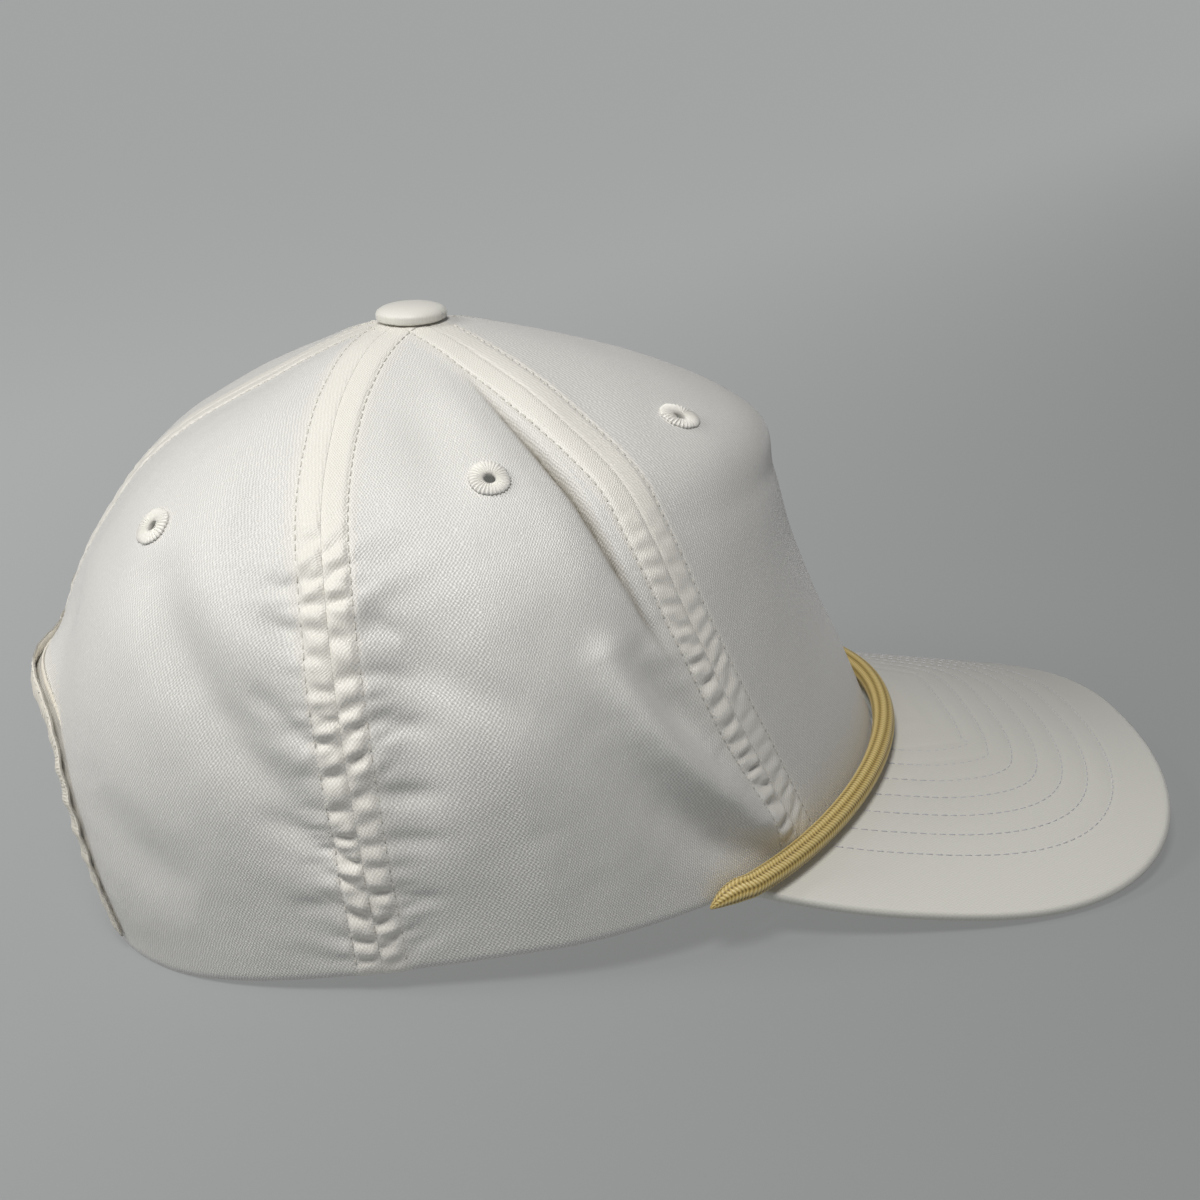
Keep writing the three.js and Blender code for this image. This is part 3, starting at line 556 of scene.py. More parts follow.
def back_rows(lower=115, upper=100):
    """The angle and share up at both ends of each row of the left back panel."""
    turn = np.linspace(0, 90, lower + 1)
    t = np.linspace(0, 1, upper + 1)[1:]
    v = np.concatenate([ARCH["seam_top"] * turn / 90, ARCH["seam_top"] + (TOP - ARCH["seam_top"]) * t])
    angle, w = arch_edge(turn)
    far_angle = np.concatenate([angle, np.full_like(t, 180.0)])
    far_v = np.concatenate([w, ARCH["top"] + (TOP - ARCH["top"]) * t])
    return (seam_angle("side", v), v), (far_angle, far_v)


for name, side in (("right", -1), ("left", 1)):
    near, far = back_rows()
    edges = (near, far) if side > 0 else ((-far[0], far[1]), (-near[0], near[1]))
    panel = crown_panel(f"back_cloth_{name}", *edges, "back", (side,), 90.0)
    panel.data.materials.append(white_polyester)
    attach(panel, "root")
    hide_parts(f"back_panel_{name}")

# Topstitching of the crown
# Two rows of lockstitch in white polyester thread hold each pressed-open seam, 5.5 mm to both sides
# of its line. Each stitch is a short bead of thread whose ends go down into the cloth.
THREAD = {"radius": 0.19, "length": 1.7, "pitch": 2.3}
ROW_ENDS = {"rim": 0.012, "opening": 0.40, "apex": 0.965}
SIDES = 6


def at_length(at, length, values):
    """Each column of the values, given at lengths along a line, read off at other lengths."""
    return np.stack([np.interp(at, length, column) for column in values.T], -1)


def stitches(line, normals, radius, length, pitch):
    """Beads along a line of points: four rings of six points each, thin and sunk at both ends."""
    s = lengths(line)
    starts = np.arange(pitch / 2, s[-1] - length, pitch)
    at = starts[:, None] + length * np.array([0, 0.22, 0.78, 1])
    middle = at_length(at, s, line)
    up = unit(at_length(at, s, normals))
    along = unit(middle[:, 3:] - middle[:, :1])
    across = unit(np.cross(along, up))
    around = 2 * np.pi * np.arange(SIDES) / SIDES
    size = radius * np.array([0.9, 1, 1, 0.9])[None, :, None, None]
    lift = radius * np.array([-0.9, 0.45, 0.45, -0.9])[None, :, None]
    ring = across[:, :, None] * np.cos(around)[:, None] + up[:, :, None] * np.sin(around)[:, None]
    return (middle + up * lift)[:, :, None] + ring * size


def thread_piece(name, groups):
    """One mesh from many stitches, each a closed bead with a flat cap at both ends, marked with 1
    where it goes down into its needle hole."""
    beads = np.concatenate(groups)
    count, rings = beads.shape[:2]
    ring, place = np.divmod(np.arange((rings - 1) * SIDES), SIDES)
    near, far = ring * SIDES + place, ring * SIDES + (place + 1) % SIDES
    quads = np.stack([near, near + SIDES, far + SIDES, far], -1)
    caps = np.array([np.arange(SIDES), rings * SIDES - 1 - np.arange(SIDES)])
    starts = np.arange(count)[:, None, None] * rings * SIDES
    sides = (quads + starts).reshape(-1, 4).tolist()
    ends = (caps + starts).reshape(-1, SIDES).tolist()
    mesh = bpy.data.meshes.new(name)
    mesh.from_pydata(((beads.reshape(-1, 3) + [SHIFT, 0, 0]) / 1000).tolist(), [], sides + ends)
    sunk = np.tile(np.repeat([1.0, 0.0, 0.0, 1.0], SIDES), count)
    mesh.attributes.new("sunk", "FLOAT", "POINT").data.foreach_set("value", sunk)
    mesh.polygons.foreach_set("use_smooth", [True] * len(mesh.polygons))
    piece = bpy.data.objects.new(name, mesh)
    bpy.context.collection.objects.link(piece)
    return piece


def row_beside(seam, side, low, hand):
    """The line on the cloth that stays one row's distance from a seam, to one side of it."""
    v = np.linspace(low, ROW_ENDS["apex"], 240)
    centre = seam_angle(seam, v)
    off = SEAM_ROW / per_degree(centre, v)
    for _ in range(4):
        off *= SEAM_ROW / seam_place(seam, smooth(centre + side * off, v))[0]
    angle = hand * (centre + side * off)
    return cloth(angle, v), normal_of(smooth, angle, v)


def thread_material(name, light, dark, hole_shade):
    """Spun thread: fine fibres in two tones, with painted shade where it goes down into its needle hole."""
    material, shader = new_material(name)
    place = add_node(material, "ShaderNodeTexCoord").outputs["Object"]
    fibres = add_node(material, "ShaderNodeTexNoise", Vector=place, Scale=2200.0, Detail=2.0).outputs[0]
    colour = add_node(material, "ShaderNodeMix", COLOURS, Factor=fibres, i6=linear(dark), i7=linear(light))
    bump = add_node(material, "ShaderNodeBump", Height=fibres, Strength=0.5, Distance=0.00005)
    sunk = add_node(material, "ShaderNodeAttribute", {"attribute_name": "sunk"})
    # Painted shade where the thread goes down into its needle hole.
    hole = add_node(material, "ShaderNodeMix", COLOURS,
                    Factor=sunk.outputs["Fac"], i6=colour.outputs[2], i7=linear(hole_shade))
    feed(material, shader, Base_Color=hole.outputs[2], Normal=bump.outputs[0], Roughness=0.6,
         Sheen_Weight=0.2)
    return material


# Spun polyester sewing thread, off-white and slightly fuzzy, a little darker than the cloth it sinks in.
# The third colour is painted shade where the thread sinks into its needle holes.
white_thread = thread_material("spun_polyester_thread", "e6e4dd", "bfbcb3", "7c7971")

sewn = []
for hand in (-1, 1):
    for seam, side in (("front", -1), ("front", 1), ("side", -1), ("side", 1)):
        sewn.append(stitches(*row_beside(seam, side, ROW_ENDS["rim"], hand), **THREAD))
    sewn.append(stitches(*row_beside("centre", -1, ROW_ENDS["opening"], hand), **THREAD))
topstitching = thread_piece("crown_topstitching", sewn)
topstitching.data.materials.append(white_thread)
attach(topstitching, "root")

# The bill
# A curved board covered in the same white polyester on both faces, pulled tight so that its weave
# hardly shows, with its edge wrapped and seven rows of stitching that follow its outer edge.
EDGE = {"half_width": 74.5, "widest": 90.7, "tip": 171.2, "fullness": 2.79, "side_share": 0.75}
BOARD = {"half": 1.6, "round": 1.6, "end": 0.985, "inner": 0.75}
BILL_ROWS = {"first": 14.5, "spacing": 6.35, "count": 7, "closer_at_sides": 0.13, "sunk": 0.1}
GROOVE = {"deep": 0.12, "width": 0.6, "rise": 0.06}
PAST_CROWN = 1.05
BILL_THREAD = {"radius": 0.14, "length": 1.7, "pitch": 2.4}


def bill_edge(s):
    """From the tip to the widest place a squared-off ellipse, and from there a parabola to the corner."""
    a = np.abs(s)
    corner_x, corner_y = plan(np.array(BILL["corner"]), SECTIONS[0])
    turn = np.radians(90 * np.minimum(a / EDGE["side_share"], 1))
    t = np.clip((a - EDGE["side_share"]) / (1 - EDGE["side_share"]), 0, 1)
    power = 2 / EDGE["fullness"]
    x = EDGE["widest"] + (EDGE["tip"] - EDGE["widest"]) * np.cos(turn) ** power
    y = EDGE["half_width"] * np.sin(turn) ** power
    beyond = a > EDGE["side_share"]
    x = np.where(beyond, EDGE["widest"] - (EDGE["widest"] - corner_x) * t, x)
    y = np.where(beyond, EDGE["half_width"] - (EDGE["half_width"] - corner_y) * t * t, y)
    return x, y * np.sign(s)


# The edge in plan, carried on 30 mm straight beyond both corners, to measure the rows' distance from.
EDGE_LINE = np.stack([*bill_edge(np.linspace(-1, 1, 401)), np.zeros(401)], -1)
beyond = unit(EDGE_LINE[[0, -1]] - EDGE_LINE[[1, -2]])[:, None] * np.arange(1, 31)[:, None]
EDGE_LINE = np.concatenate([EDGE_LINE[0] + beyond[0][::-1], EDGE_LINE, EDGE_LINE[-1] + beyond[1]])


def row_spacing(x, y):
    """The distance between two rows of stitches, a little less at the bill's sides than at its tip."""
    to_side = np.clip(np.abs(np.arctan2(y, x - EDGE["widest"])) / np.radians(75), 0, 1)
    return BILL_ROWS["spacing"] * (1 - BILL_ROWS["closer_at_sides"] * to_side**2)


def bill_relief(x, y):
    """A narrow groove under each row of stitches, and a soft rise between two rows."""
    depth, _ = along_line(np.stack([x, y, np.zeros_like(x)], -1), EDGE_LINE)
    count = (depth - BILL_ROWS["first"]) / row_spacing(x, y)
    nearest = np.clip(np.round(count), 0, BILL_ROWS["count"] - 1)
    groove = np.exp(-(((count - nearest) * BILL_ROWS["spacing"] / GROOVE["width"]) ** 2))
    rise = (0.5 - 0.5 * np.cos(2 * np.pi * count)) * (count > 0)
    return GROOVE["rise"] * rise - GROOVE["deep"] * groove


def bill_face(x, y, up):
    """The middle of the board raised by up along its normal, and that normal."""
    step = 0.5
    slope_x = (bill_height(x + step, y) - bill_height(x - step, y)) / (2 * step)
    slope_y = (bill_height(x, y + step) - bill_height(x, y - step)) / (2 * step)
    normal = unit(np.stack([-slope_x, -slope_y, np.ones_like(x)], -1))
    return np.stack([x, y, bill_height(x, y)], -1) + normal * up[..., None], normal


s = np.linspace(-BOARD["end"], BOARD["end"], 300)
rim = smooth(BILL["corner"] * s, np.zeros_like(s))
rim = rim + normal_of(smooth, BILL["corner"] * s, np.zeros_like(s)) * BOARD["inner"]
edge_x, edge_y = bill_edge(s)
width = np.hypot(edge_x - rim[:, 0], edge_y - rim[:, 1])
inset = np.maximum(1 - BOARD["round"] / width, 0.3)
turn = np.radians(np.linspace(90, -90, 13))[:, None]
flat = np.linspace(0, 1, 84)[:-1, None]
share = np.concatenate([flat * inset, inset + (1 - inset) * np.cos(turn), (flat * inset)[::-1]])
lift = np.concatenate([np.ones_like(flat), np.sin(turn), -np.ones_like(flat)]) * BOARD["half"]
x = rim[:, 0] + (edge_x - rim[:, 0]) * share
y = rim[:, 1] + (edge_y - rim[:, 1]) * share
up = np.broadcast_to(lift, x.shape)
points = bill_face(x, y, up + np.sign(up) * bill_relief(x, y))[0].transpose(1, 0, 2)
uv = np.stack([y.T, x.T], -1)
uv = np.concatenate([uv, uv[:, :1]], axis=1)
bill = skin("bill_covered", points, uv=uv, closed=True, caps=True)

# The same polyester stretched flat over the board: its threads hardly stand out.
tight_polyester = woven("woven_polyester_stretched", "e6e5dd", "dddcd4", "e6e5dd", 0.6, 0.008, 0.48, 0.3)
bill.data.materials.append(tight_polyester)
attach(bill, "root")
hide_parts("bill")

sewn = []
way = unit(np.gradient(EDGE_LINE, axis=0))
inward = np.stack([-way[:, 1], way[:, 0], np.zeros(len(way))], -1)
reach_ahead, reach_aside, centre = SECTIONS[0, [0, 2, 3]]
for k in range(BILL_ROWS["count"]):
    depth = BILL_ROWS["first"] + k * row_spacing(EDGE_LINE[:, 0], EDGE_LINE[:, 1])
    line = EDGE_LINE + inward * depth[:, None]
    nearest_here = along_line(line, EDGE_LINE)[0] > depth - 0.05
    ahead = line[:, 0] - centre
    past_crown = (ahead > 0) & ((ahead / reach_ahead) ** 2 + (line[:, 1] / reach_aside) ** 2 > PAST_CROWN)
    x, y, _ = line[nearest_here & past_crown].T
    for face in (1, -1):
        place, normal = bill_face(x, y, np.full_like(x, face * (BOARD["half"] - BILL_ROWS["sunk"])))
        sewn.append(stitches(place, normal * face, **BILL_THREAD))
bill_stitching = thread_piece("bill_stitching", sewn)

# The bill's rows are sewn with the same kind of thread in a faint lilac grey.
# The third colour is painted shade where the thread sinks into its needle holes.
lilac_thread = thread_material("spun_polyester_thread_bill", "dcdbdf", "c2c0c6", "a3a1a8")
bill_stitching.data.materials.append(lilac_thread)
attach(bill_stitching, "root")

# The rope
# A braided cord of gold polyester, 5.6 mm thick, that lies in the corner between the crown and the
# bill. It is sewn down all the way, and its tapered ends are tucked under the rim.
ROPE = {"radius": 2.8, "clearance": 0.45, "steps": 44, "end": 68.6, "end_out": 1.9, "end_up": 0.6,
        "rise": 0.8}
TAPER = {"length": 9.0, "blunt": 0.03, "power": 0.8}
BRAID = {"columns": 8, "pitch": 0.85, "column_depth": 0.22, "strand_depth": 0.16}


def rope_corner(angle):
    """Where a circle touches both the front panel and the bill: offsets along both normals, solved
    for the place that is far enough from each."""
    foot = smooth(angle, np.zeros_like(angle))
    wall = normal_of(smooth, angle, np.full_like(angle, 0.02))
    _, deck = bill_face(foot[:, 0], foot[:, 1], np.zeros(len(foot)))
    mix = (wall * deck).sum(-1, keepdims=True)
    room = ROPE["radius"] + ROPE["clearance"]
    over_deck, off_wall = BOARD["half"] + room, BAND["height"] + room
    offsets = deck * (over_deck - off_wall * mix) + wall * (off_wall - over_deck * mix)
    return foot + offsets / (1 - mix**2)


def rope_line():
    """The corner line with a short tail at both ends, down beside the rim."""
    line = rope_corner(np.linspace(-BILL["corner"], BILL["corner"], ROPE["steps"] + 1))
    t = np.array([[0.3], [0.6], [0.82], [1.0]])
    tails = []
    for hand, start in ((-1, line[0]), (1, line[-1])):
        at = np.array([hand * ROPE["end"]])
        out = normal_of(smooth, at, np.zeros(1)) * ROPE["end_out"]
        end = smooth(at, np.zeros(1)) + out + [0, 0, ROPE["end_up"]]
        tails.append(start + (end - start) * t + np.sin(np.pi * t) * [0, 0, ROPE["rise"]])
    return np.concatenate([tails[0][::-1], line, tails[1]])


def resample(line, spacing):
    """A smooth line through the points at even spacing, by parabolas blended between them."""
    ghost = np.concatenate([[2 * line[0] - line[1]], line, [2 * line[-1] - line[-2]]])
    t = np.linspace(0, len(line) - 1, 4000)
    i = np.minimum(t.astype(int), len(line) - 2)
    u = (t - i)[:, None]
    p, q, r, s = (ghost[i + k] for k in range(4))
    fine = 0.5 * (2 * q + (r - p) * u + (2 * p - 5 * q + 4 * r - s) * u**2 + (3 * q - p - 3 * r + s) * u**3)
    length = lengths(fine)
    at = np.linspace(0, length[-1], int(length[-1] / spacing) + 1)
    return at_length(at, length, fine), at


line, along = resample(rope_line(), 0.17)
tangent = unit(np.gradient(line, axis=0))
side = unit(np.cross(tangent, [0.0, 0.0, 1.0]))
above = np.cross(side, tangent)
turn = np.linspace(0, 2 * np.pi, 57)[:-1]
strand = 2 * np.pi * along[:, None] / BRAID["pitch"]
leaning = np.cos(BRAID["columns"] * turn - strand), np.cos(BRAID["columns"] * turn + strand)
over = np.cos(BRAID["columns"] / 2 * turn)[None, :]
strands = np.maximum(leaning[0] * 0.5 + 0.9 * over, leaning[1] * 0.5 - 0.9 * over) - 0.9 * np.abs(over)
height = BRAID["strand_depth"] * (strands - 0.5) - BRAID["column_depth"] * (1 - np.abs(over) ** 0.7)
to_end = np.minimum(along, along[-1] - along)
taper = np.sin(np.pi / 2 * np.clip(to_end / TAPER["length"] + TAPER["blunt"], 0, 1)) ** TAPER["power"]
radius = (ROPE["radius"] + height) * taper[:, None]
around = side[:, None] * np.cos(turn)[:, None] + above[:, None] * np.sin(turn)[:, None]
points = line[:, None] + around * radius[..., None]
# How high each point of the braid stands, which sets its painted highlight and painted shade.
painted_braid_light = (height - height.min()) / np.ptp(height)
rope = skin("rope_braid", points, closed=True, caps=True, turned=True, braid=painted_braid_light)
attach(rope, "root")
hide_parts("rope")

# Gold polyester braid, with a painted highlight on the crowns of its strands and painted shade, brown, in
# the gaps between them.
gold_braid, shader = new_material("braided_polyester_gold")
braid_light_node = add_node(gold_braid, "ShaderNodeAttribute", {"attribute_name": "braid"})
place = add_node(gold_braid, "ShaderNodeTexCoord").outputs["Object"]
fibres = add_node(gold_braid, "ShaderNodeTexNoise", Vector=place, Scale=1500.0, Detail=2.0)
lit_and_shaded_gold = add_node(gold_braid, "ShaderNodeValToRGB", Fac=braid_light_node.outputs["Fac"])
# Painted shade, brown, in the gaps between strands, and a painted highlight on their crowns.
gap, crown = lit_and_shaded_gold.color_ramp.elements
gap.color, crown.color = linear("6b5522"), linear("f0dd9f")
lit_and_shaded_gold.color_ramp.elements.new(0.5).color = linear("c3a962")
bump = add_node(gold_braid, "ShaderNodeBump", Height=fibres.outputs[0], Strength=0.6, Distance=0.00008)
feed(gold_braid, shader, Base_Color=lit_and_shaded_gold.outputs[0], Normal=bump.outputs[0], Roughness=0.42,
     Sheen_Weight=0.2)
rope.data.materials.append(gold_braid)

# The covered button
# A flat metal button wrapped in the white polyester, on a shank through the hole at the apex, where
# the five panels meet. The cloth is gathered in one small pleat at its edge.
BUTTON = {"radius": 8.3, "height": 3.8, "foot": 7.5, "belly": 1.5, "seat": 0.85, "shank": 2.0, "below": 3.6}
PLEAT = {"at": -42.0, "width": 4.0, "low": 0.7, "tall": 1.2, "deep": 0.35}


def share_at(angle, radius):
    """The share of the way up at which the smooth crown is this far from its apex, by halving."""
    near, far = np.ones_like(radius), np.full_like(radius, 0.75)
    for _ in range(30):
        v = (near + far) / 2
        p = smooth(angle, v)
        close = np.hypot(p[..., 0] - APEX_X, p[..., 1]) < radius
        near, far = np.where(close, v, near), np.where(close, far, v)
    return near


def button_profile():
    """From the shank out to the foot, round the belly and up the dome: each row's radius, height
    above the apex, and share by which it follows the crown instead."""
    shank, foot, belly = BUTTON["shank"], BUTTON["foot"], BUTTON["belly"]
    around = np.radians(np.linspace(-70, 0, 10))
    over = np.radians(np.linspace(0, 90, 22)[1:-1])
    seat = [[shank, 0, 1], [(shank + foot) / 2, 0, 1], [foot, 0, 1]]
    out, rise = BUTTON["radius"] - foot, BUTTON["height"] - belly
    side = [foot + out * np.cos(around), belly * (1 + np.sin(around)), -np.sin(around)]
    dome = [BUTTON["radius"] * np.cos(over) ** 0.8, belly + rise * np.sin(over), 0 * over]
    return np.concatenate([seat, np.transpose(side), np.transpose(dome)])


turn = np.linspace(-180, 180, 145)[:-1]
radius, height, follow = (column[:, None] for column in button_profile().T)
angle, radius = np.broadcast_arrays(turn, radius)
below = smooth(angle, share_at(angle, radius))
apex_z = SECTIONS[-1, 4]
z = (below[..., 2] + BUTTON["seat"]) * follow + (apex_z + height) * (1 - follow)
aside, aloft = (turn - PLEAT["at"]) / PLEAT["width"], (height - PLEAT["low"]) / PLEAT["tall"]
radius = radius - PLEAT["deep"] * np.exp(-(aside**2 + aloft**2)) * (radius > BUTTON["foot"] / 2)
outward = unit(np.stack([below[..., 0] - APEX_X, below[..., 1]], -1))
points = np.stack([APEX_X + outward[..., 0] * radius, outward[..., 1] * radius, z], -1)
shank = points[:1].copy()
shank[..., 2] = apex_z - BUTTON["below"]
points = np.concatenate([shank, points])
uv = points[:, list(range(len(turn))) + [0], :2]
button = skin("button_covered", points, uv=uv, closed=True, caps=True)
button.data.materials.append(tight_polyester)
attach(button, "root")
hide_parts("button")

# The six eyelets
# Small air holes, each bound with a ring of satin stitches: threads that run out from the hole, over
# the edge of the ring and back under the cloth.
RING = {"middle": 2.85, "half": 1.6, "proud": 1.0, "threads": 30, "under": 0.4, "narrower": 0.85}
SATIN = {"ragged": 0.14, "ridge": 0.22, "scallop": 0.12}


def satin_ring(angle, v, thickness, seed):
    """A ring bent with the crown: round on top, flat and smaller below, with a ridge for each thread."""
    random = np.random.default_rng(seed)
    threads = RING["threads"]
    around = np.linspace(0, 2 * np.pi, threads * 6 + 1)[:-1]
    across = np.linspace(0, 2 * np.pi, 25)[:-1][:, None]
    ridge = np.cos(threads * around)
    ends = random.uniform(-SATIN["ragged"], SATIN["ragged"], threads + 1)
    ragged = np.interp(around * threads / (2 * np.pi), np.arange(threads + 1), ends)
    outer, high = np.cos(across), np.abs(np.sin(across))
    top = np.sin(across) > 0
    half = (RING["half"] + ragged * (outer > 0)) * np.where(top, 1, RING["narrower"])
    radius = RING["middle"] + half * outer + SATIN["scallop"] * ridge * (outer > 0.3)
    out = np.where(top, RING["proud"] * high**0.8, -(thickness + RING["under"]) * high**0.5)
    out = out + SATIN["ridge"] * ridge * top * high**0.5
    along = np.linalg.norm(smooth(angle, v + 0.005) - smooth(angle, v - 0.005)) / 0.01
    a = angle + radius * np.cos(around) / per_degree(angle, v)
    w = v + radius * np.sin(around) / along
    return cloth(a, w) + normal_of(smooth, a, w) * out[..., None]


# Filament polyester thread laid flat in satin stitches, whiter and smoother than the sewing thread.
satin_thread = thread_material("filament_polyester_thread", "f6f5f0", "e2e0d9", "f6f5f0")
for kind, (angle, v) in EYELETS.items():
    for name, side in (("right", -1), ("left", 1)):
        points = satin_ring(np.array(side * angle), np.array(v), CLOTH[kind], int(angle) + side)
        points = np.concatenate([points, points[:1]])
        ring = skin(f"eyelet_stitched_{kind}_{name}", points, closed=True)
        ring.data.materials.append(satin_thread)
        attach(ring, "root")
        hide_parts(f"eyelet_{kind}_{name}")

# The binding of the back opening
# A folded tape of cream cotton twill, sewn over the cut edge of both back panels with one row of
# stitches and drawn into small puckers.
TAPE = {"thick": 0.45, "clear": 0.12, "leg": 5.5, "row": 4.0, "start": 0.02}
GATHER = {"every": 6.4, "drift": 11.0, "at": 0.2, "reach": 0.12, "deep": 0.9}


def tape_profile():
    """Once round the tape's U-shaped section: distance from the cloth's edge towards the opening,
    and height over its outer face."""
    gap, thick, leg, low = TAPE["clear"], TAPE["thick"], TAPE["leg"], -CLOTH["back"]
    bend = np.radians(np.linspace(90, -90, 9))[:, None]
    middle, outer, inner = low / 2, gap + thick - low / 2, gap - low / 2
    outside = np.hstack([outer * np.cos(bend) * 0.75, middle + outer * np.sin(bend)])
    inside = np.hstack([inner * np.cos(bend) * 0.6, middle + inner * np.sin(bend)])[::-1]
    ends = np.array([[-leg, gap + thick], [-leg, low - gap - thick], [-leg, low - gap], [-leg, gap]])
    return np.concatenate([ends[:1], outside, ends[1:3], inside, ends[3:]])


angle, v = arch_edge(np.linspace(0, 90, 260))
above_rim = v > TAPE["start"]
angle, v = angle[above_rim], v[above_rim]
angle = np.concatenate([-angle, angle[::-1][1:]])
v = np.concatenate([v, v[::-1][1:]])
base = cloth(angle, v)
normal = normal_of(smooth, angle, v)
travel = unit(np.gradient(base, axis=0))
towards = unit(np.cross(normal, travel))
length = lengths(base)
side, height = tape_profile().T
gather = np.sin(2 * np.pi * length / GATHER["every"] + 1.3 * np.sin(length / GATHER["drift"])) * 0.5 + 0.5
gather = gather**1.5 * np.exp(-(((v - GATHER["at"]) / GATHER["reach"]) ** 2)) * GATHER["deep"]
sides = side + gather[:, None] * (side > -1)
heights = height + gather[:, None] * 0.5 * (height > 0)
points = base[:, None] + towards[:, None] * sides[..., None] + normal[:, None] * heights[..., None]
around = np.append(np.arange(len(side)), 0) * 1.0
uv = np.stack(np.broadcast_arrays(length[:, None], around), -1)
binding = skin("opening_binding", points, uv=uv, closed=True, caps=True, turned=True,
               warm=np.ones(points.shape[:2]))

# Cotton twill tape, cream, with a fine close weave and no shine.
cream_twill = woven("cotton_twill_cream", "ebe6da", "cfc9bb", "ebe6da", 0.8, 0.08, 0.75, 0.15)
binding.data.materials.append(cream_twill)
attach(binding, "root")
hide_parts("arch_binding")

row = base - towards * TAPE["row"] + normal * (TAPE["clear"] + TAPE["thick"])
tape_stitching = thread_piece("binding_stitching", [stitches(row, normal, **THREAD)])
tape_stitching.data.materials.append(white_thread)
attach(tape_stitching, "root")

# The sweatband
# A plain band of the same cream twill, folded double, sewn inside the rim from one side of the back
# opening round the front to the other.
SWEATBAND = {"end": 136, "foot": 0.006, "top": 0.16, "foot_in": 1.9, "lean": 1.5, "thick": 1.0, "rows": 30}
angle = np.linspace(-SWEATBAND["end"], SWEATBAND["end"], 340)[:, None]
t = np.linspace(0, 1, SWEATBAND["rows"])
t = np.concatenate([t, t[::-1]])
deeper = np.repeat([0.0, SWEATBAND["thick"]], SWEATBAND["rows"])
v = SWEATBAND["foot"] + (SWEATBAND["top"] - SWEATBAND["foot"]) * t
angle, v = np.broadcast_arrays(angle, v)
inward = SWEATBAND["foot_in"] + SWEATBAND["lean"] * t + deeper
points = smooth(angle, v) - normal_of(smooth, angle, v) * inward[..., None]
uv = np.stack([angle * 1.4, v * 160], -1)
uv = np.concatenate([uv, uv[:, :1]], axis=1)
sweatband = skin("sweatband_twill", points, uv=uv, closed=True, caps=True, turned=True,
                 warm=np.ones(points.shape[:2]))
sweatband.data.materials.append(cream_twill)
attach(sweatband, "root")
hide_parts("sweatband")

# The snap closure
# Two moulded polyethylene strips, one with holes and one with studs, that press together at the back.
snap_plastic, shader = new_material("moulded_polyethylene_white")
place = add_node(snap_plastic, "ShaderNodeTexCoord").outputs["Object"]
cloudy = add_node(snap_plastic, "ShaderNodeTexNoise", Vector=place, Scale=300.0, Detail=2.0)
tone = add_node(snap_plastic, "ShaderNodeMix", COLOURS,
                Factor=cloudy.outputs[0], i6=linear("d3d2cb"), i7=linear("dcdbd5"))
feed(snap_plastic, shader, Base_Color=tone.outputs[2], Roughness=0.35, Subsurface_Weight=0.1)
for name in ("strap_right", "strap_left"):
    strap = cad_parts[name]
    strap.data.materials.clear()
    strap.data.materials.append(snap_plastic)

# The table and its backdrop
# A sheet of matt grey paper that glows faintly by itself, with painted light, unevenly behind the
# cap: paler far off to the left, and darker towards the near right.
# It lies 0.2 mm under the rim, so that their faces never share a plane.
half, below_rest = 60.0, -0.0002
mesh = bpy.data.meshes.new("table")
corners = [(x, y, below_rest) for x, y in ((-half, -half), (half, -half), (half, half), (-half, half))]
mesh.from_pydata(corners, [], [(0, 1, 2, 3)])
table = bpy.data.objects.new("table", mesh)
bpy.context.collection.objects.link(table)
glowing_grey, shader = new_material("grey_paper_painted_glow")
place = add_node(glowing_grey, "ShaderNodeTexCoord")
away = add_node(glowing_grey, "ShaderNodeVectorMath", {"operation": "DOT_PRODUCT"},
                i0=place.outputs["Object"], i1=(-0.75, 0.66, 0.0))
fade = add_node(glowing_grey, "ShaderNodeMapRange", {"interpolation_type": "SMOOTHSTEP"},
                i0=away.outputs["Value"], i1=-0.33, i2=0.5)
# Painted light: the paper's own glow, paler far off to the left and darker towards the near right.
glow = add_node(glowing_grey, "ShaderNodeMix", COLOURS,
                Factor=fade.outputs[0], i6=linear("6c6d6c"), i7=linear("9d9f9e"))
feed(glowing_grey, shader, Base_Color=linear("5c5e60"), Emission_Color=glow.outputs[2],
     Emission_Strength=1.0, Roughness=0.9)
table.data.materials.append(glowing_grey)

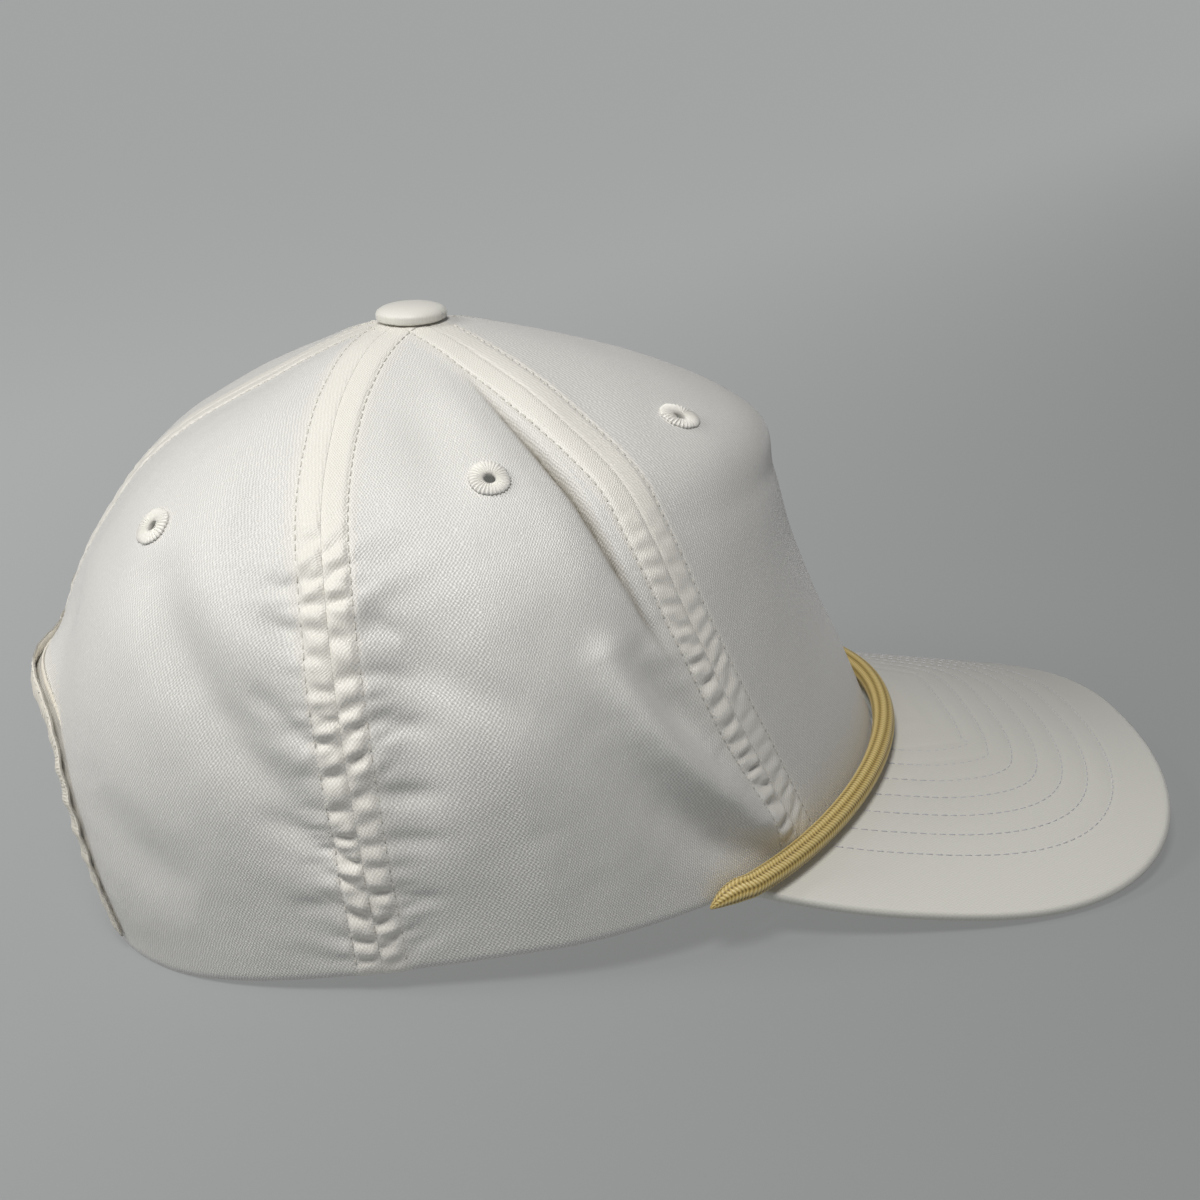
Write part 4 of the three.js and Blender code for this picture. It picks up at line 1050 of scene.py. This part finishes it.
# The light and the camera
# Two soft lamps, one high in front and one low behind, and a weak even light from everywhere.
bpy.context.scene.view_settings.view_transform = "Standard"
world = bpy.data.worlds.new("studio")
world.use_nodes = True
world.node_tree.nodes["Background"].inputs["Color"].default_value = linear("68686b")
world.node_tree.nodes["Background"].inputs["Strength"].default_value = 1.0
bpy.context.scene.world = world


def soft_lamp(name, place, aim, size, power):
    """A square area lamp at a place, turned to a point."""
    lamp = bpy.data.lights.new(name, "AREA")
    lamp.size, lamp.energy, lamp.color = size, power, (1.0, 0.985, 0.955)
    holder = bpy.data.objects.new(name, lamp)
    bpy.context.collection.objects.link(holder)
    turned = (Vector(aim) - Vector(place)).to_track_quat("-Z", "Y")
    holder.matrix_world = Matrix.Translation(place) @ turned.to_matrix().to_4x4()


middle = (-0.03, 0.0, 0.06)
soft_lamp("above", (-0.15, -0.38, 0.755), middle, 0.2, 3.75)
soft_lamp("behind", (-0.62, -0.13, 0.574), middle, 0.25, 2.1)

CAMERA = {"azimuth": -6.13, "elevation": 21.72, "roll": -1.29, "distance": 406.0, "focal_px": 1606.5}
TARGET = np.array([28.24, 0.0, 57.44])
azimuth, elevation, roll = (np.radians(CAMERA[key]) for key in ("azimuth", "elevation", "roll"))
level = np.cos(elevation)
back = np.array([np.sin(azimuth) * level, -np.cos(azimuth) * level, np.sin(elevation)])
flat = unit(np.cross(-back, [0.0, 0.0, 1.0]))
steep = np.cross(flat, -back)
right = flat * np.cos(roll) + steep * np.sin(roll)
above = steep * np.cos(roll) - flat * np.sin(roll)
place = (TARGET + back * CAMERA["distance"] + [SHIFT, 0, 0]) / 1000
lens = bpy.data.cameras.new("camera")
lens.sensor_width = 36.0
lens.lens = CAMERA["focal_px"] * lens.sensor_width / 1200
lens.clip_start, lens.clip_end = 0.01, 20.0
camera = bpy.data.objects.new("camera", lens)
bpy.context.collection.objects.link(camera)
stand = np.eye(4)
stand[:3] = np.stack([right, above, back, place], -1)
camera.matrix_world = Matrix(stand.tolist())
bpy.context.scene.camera = camera
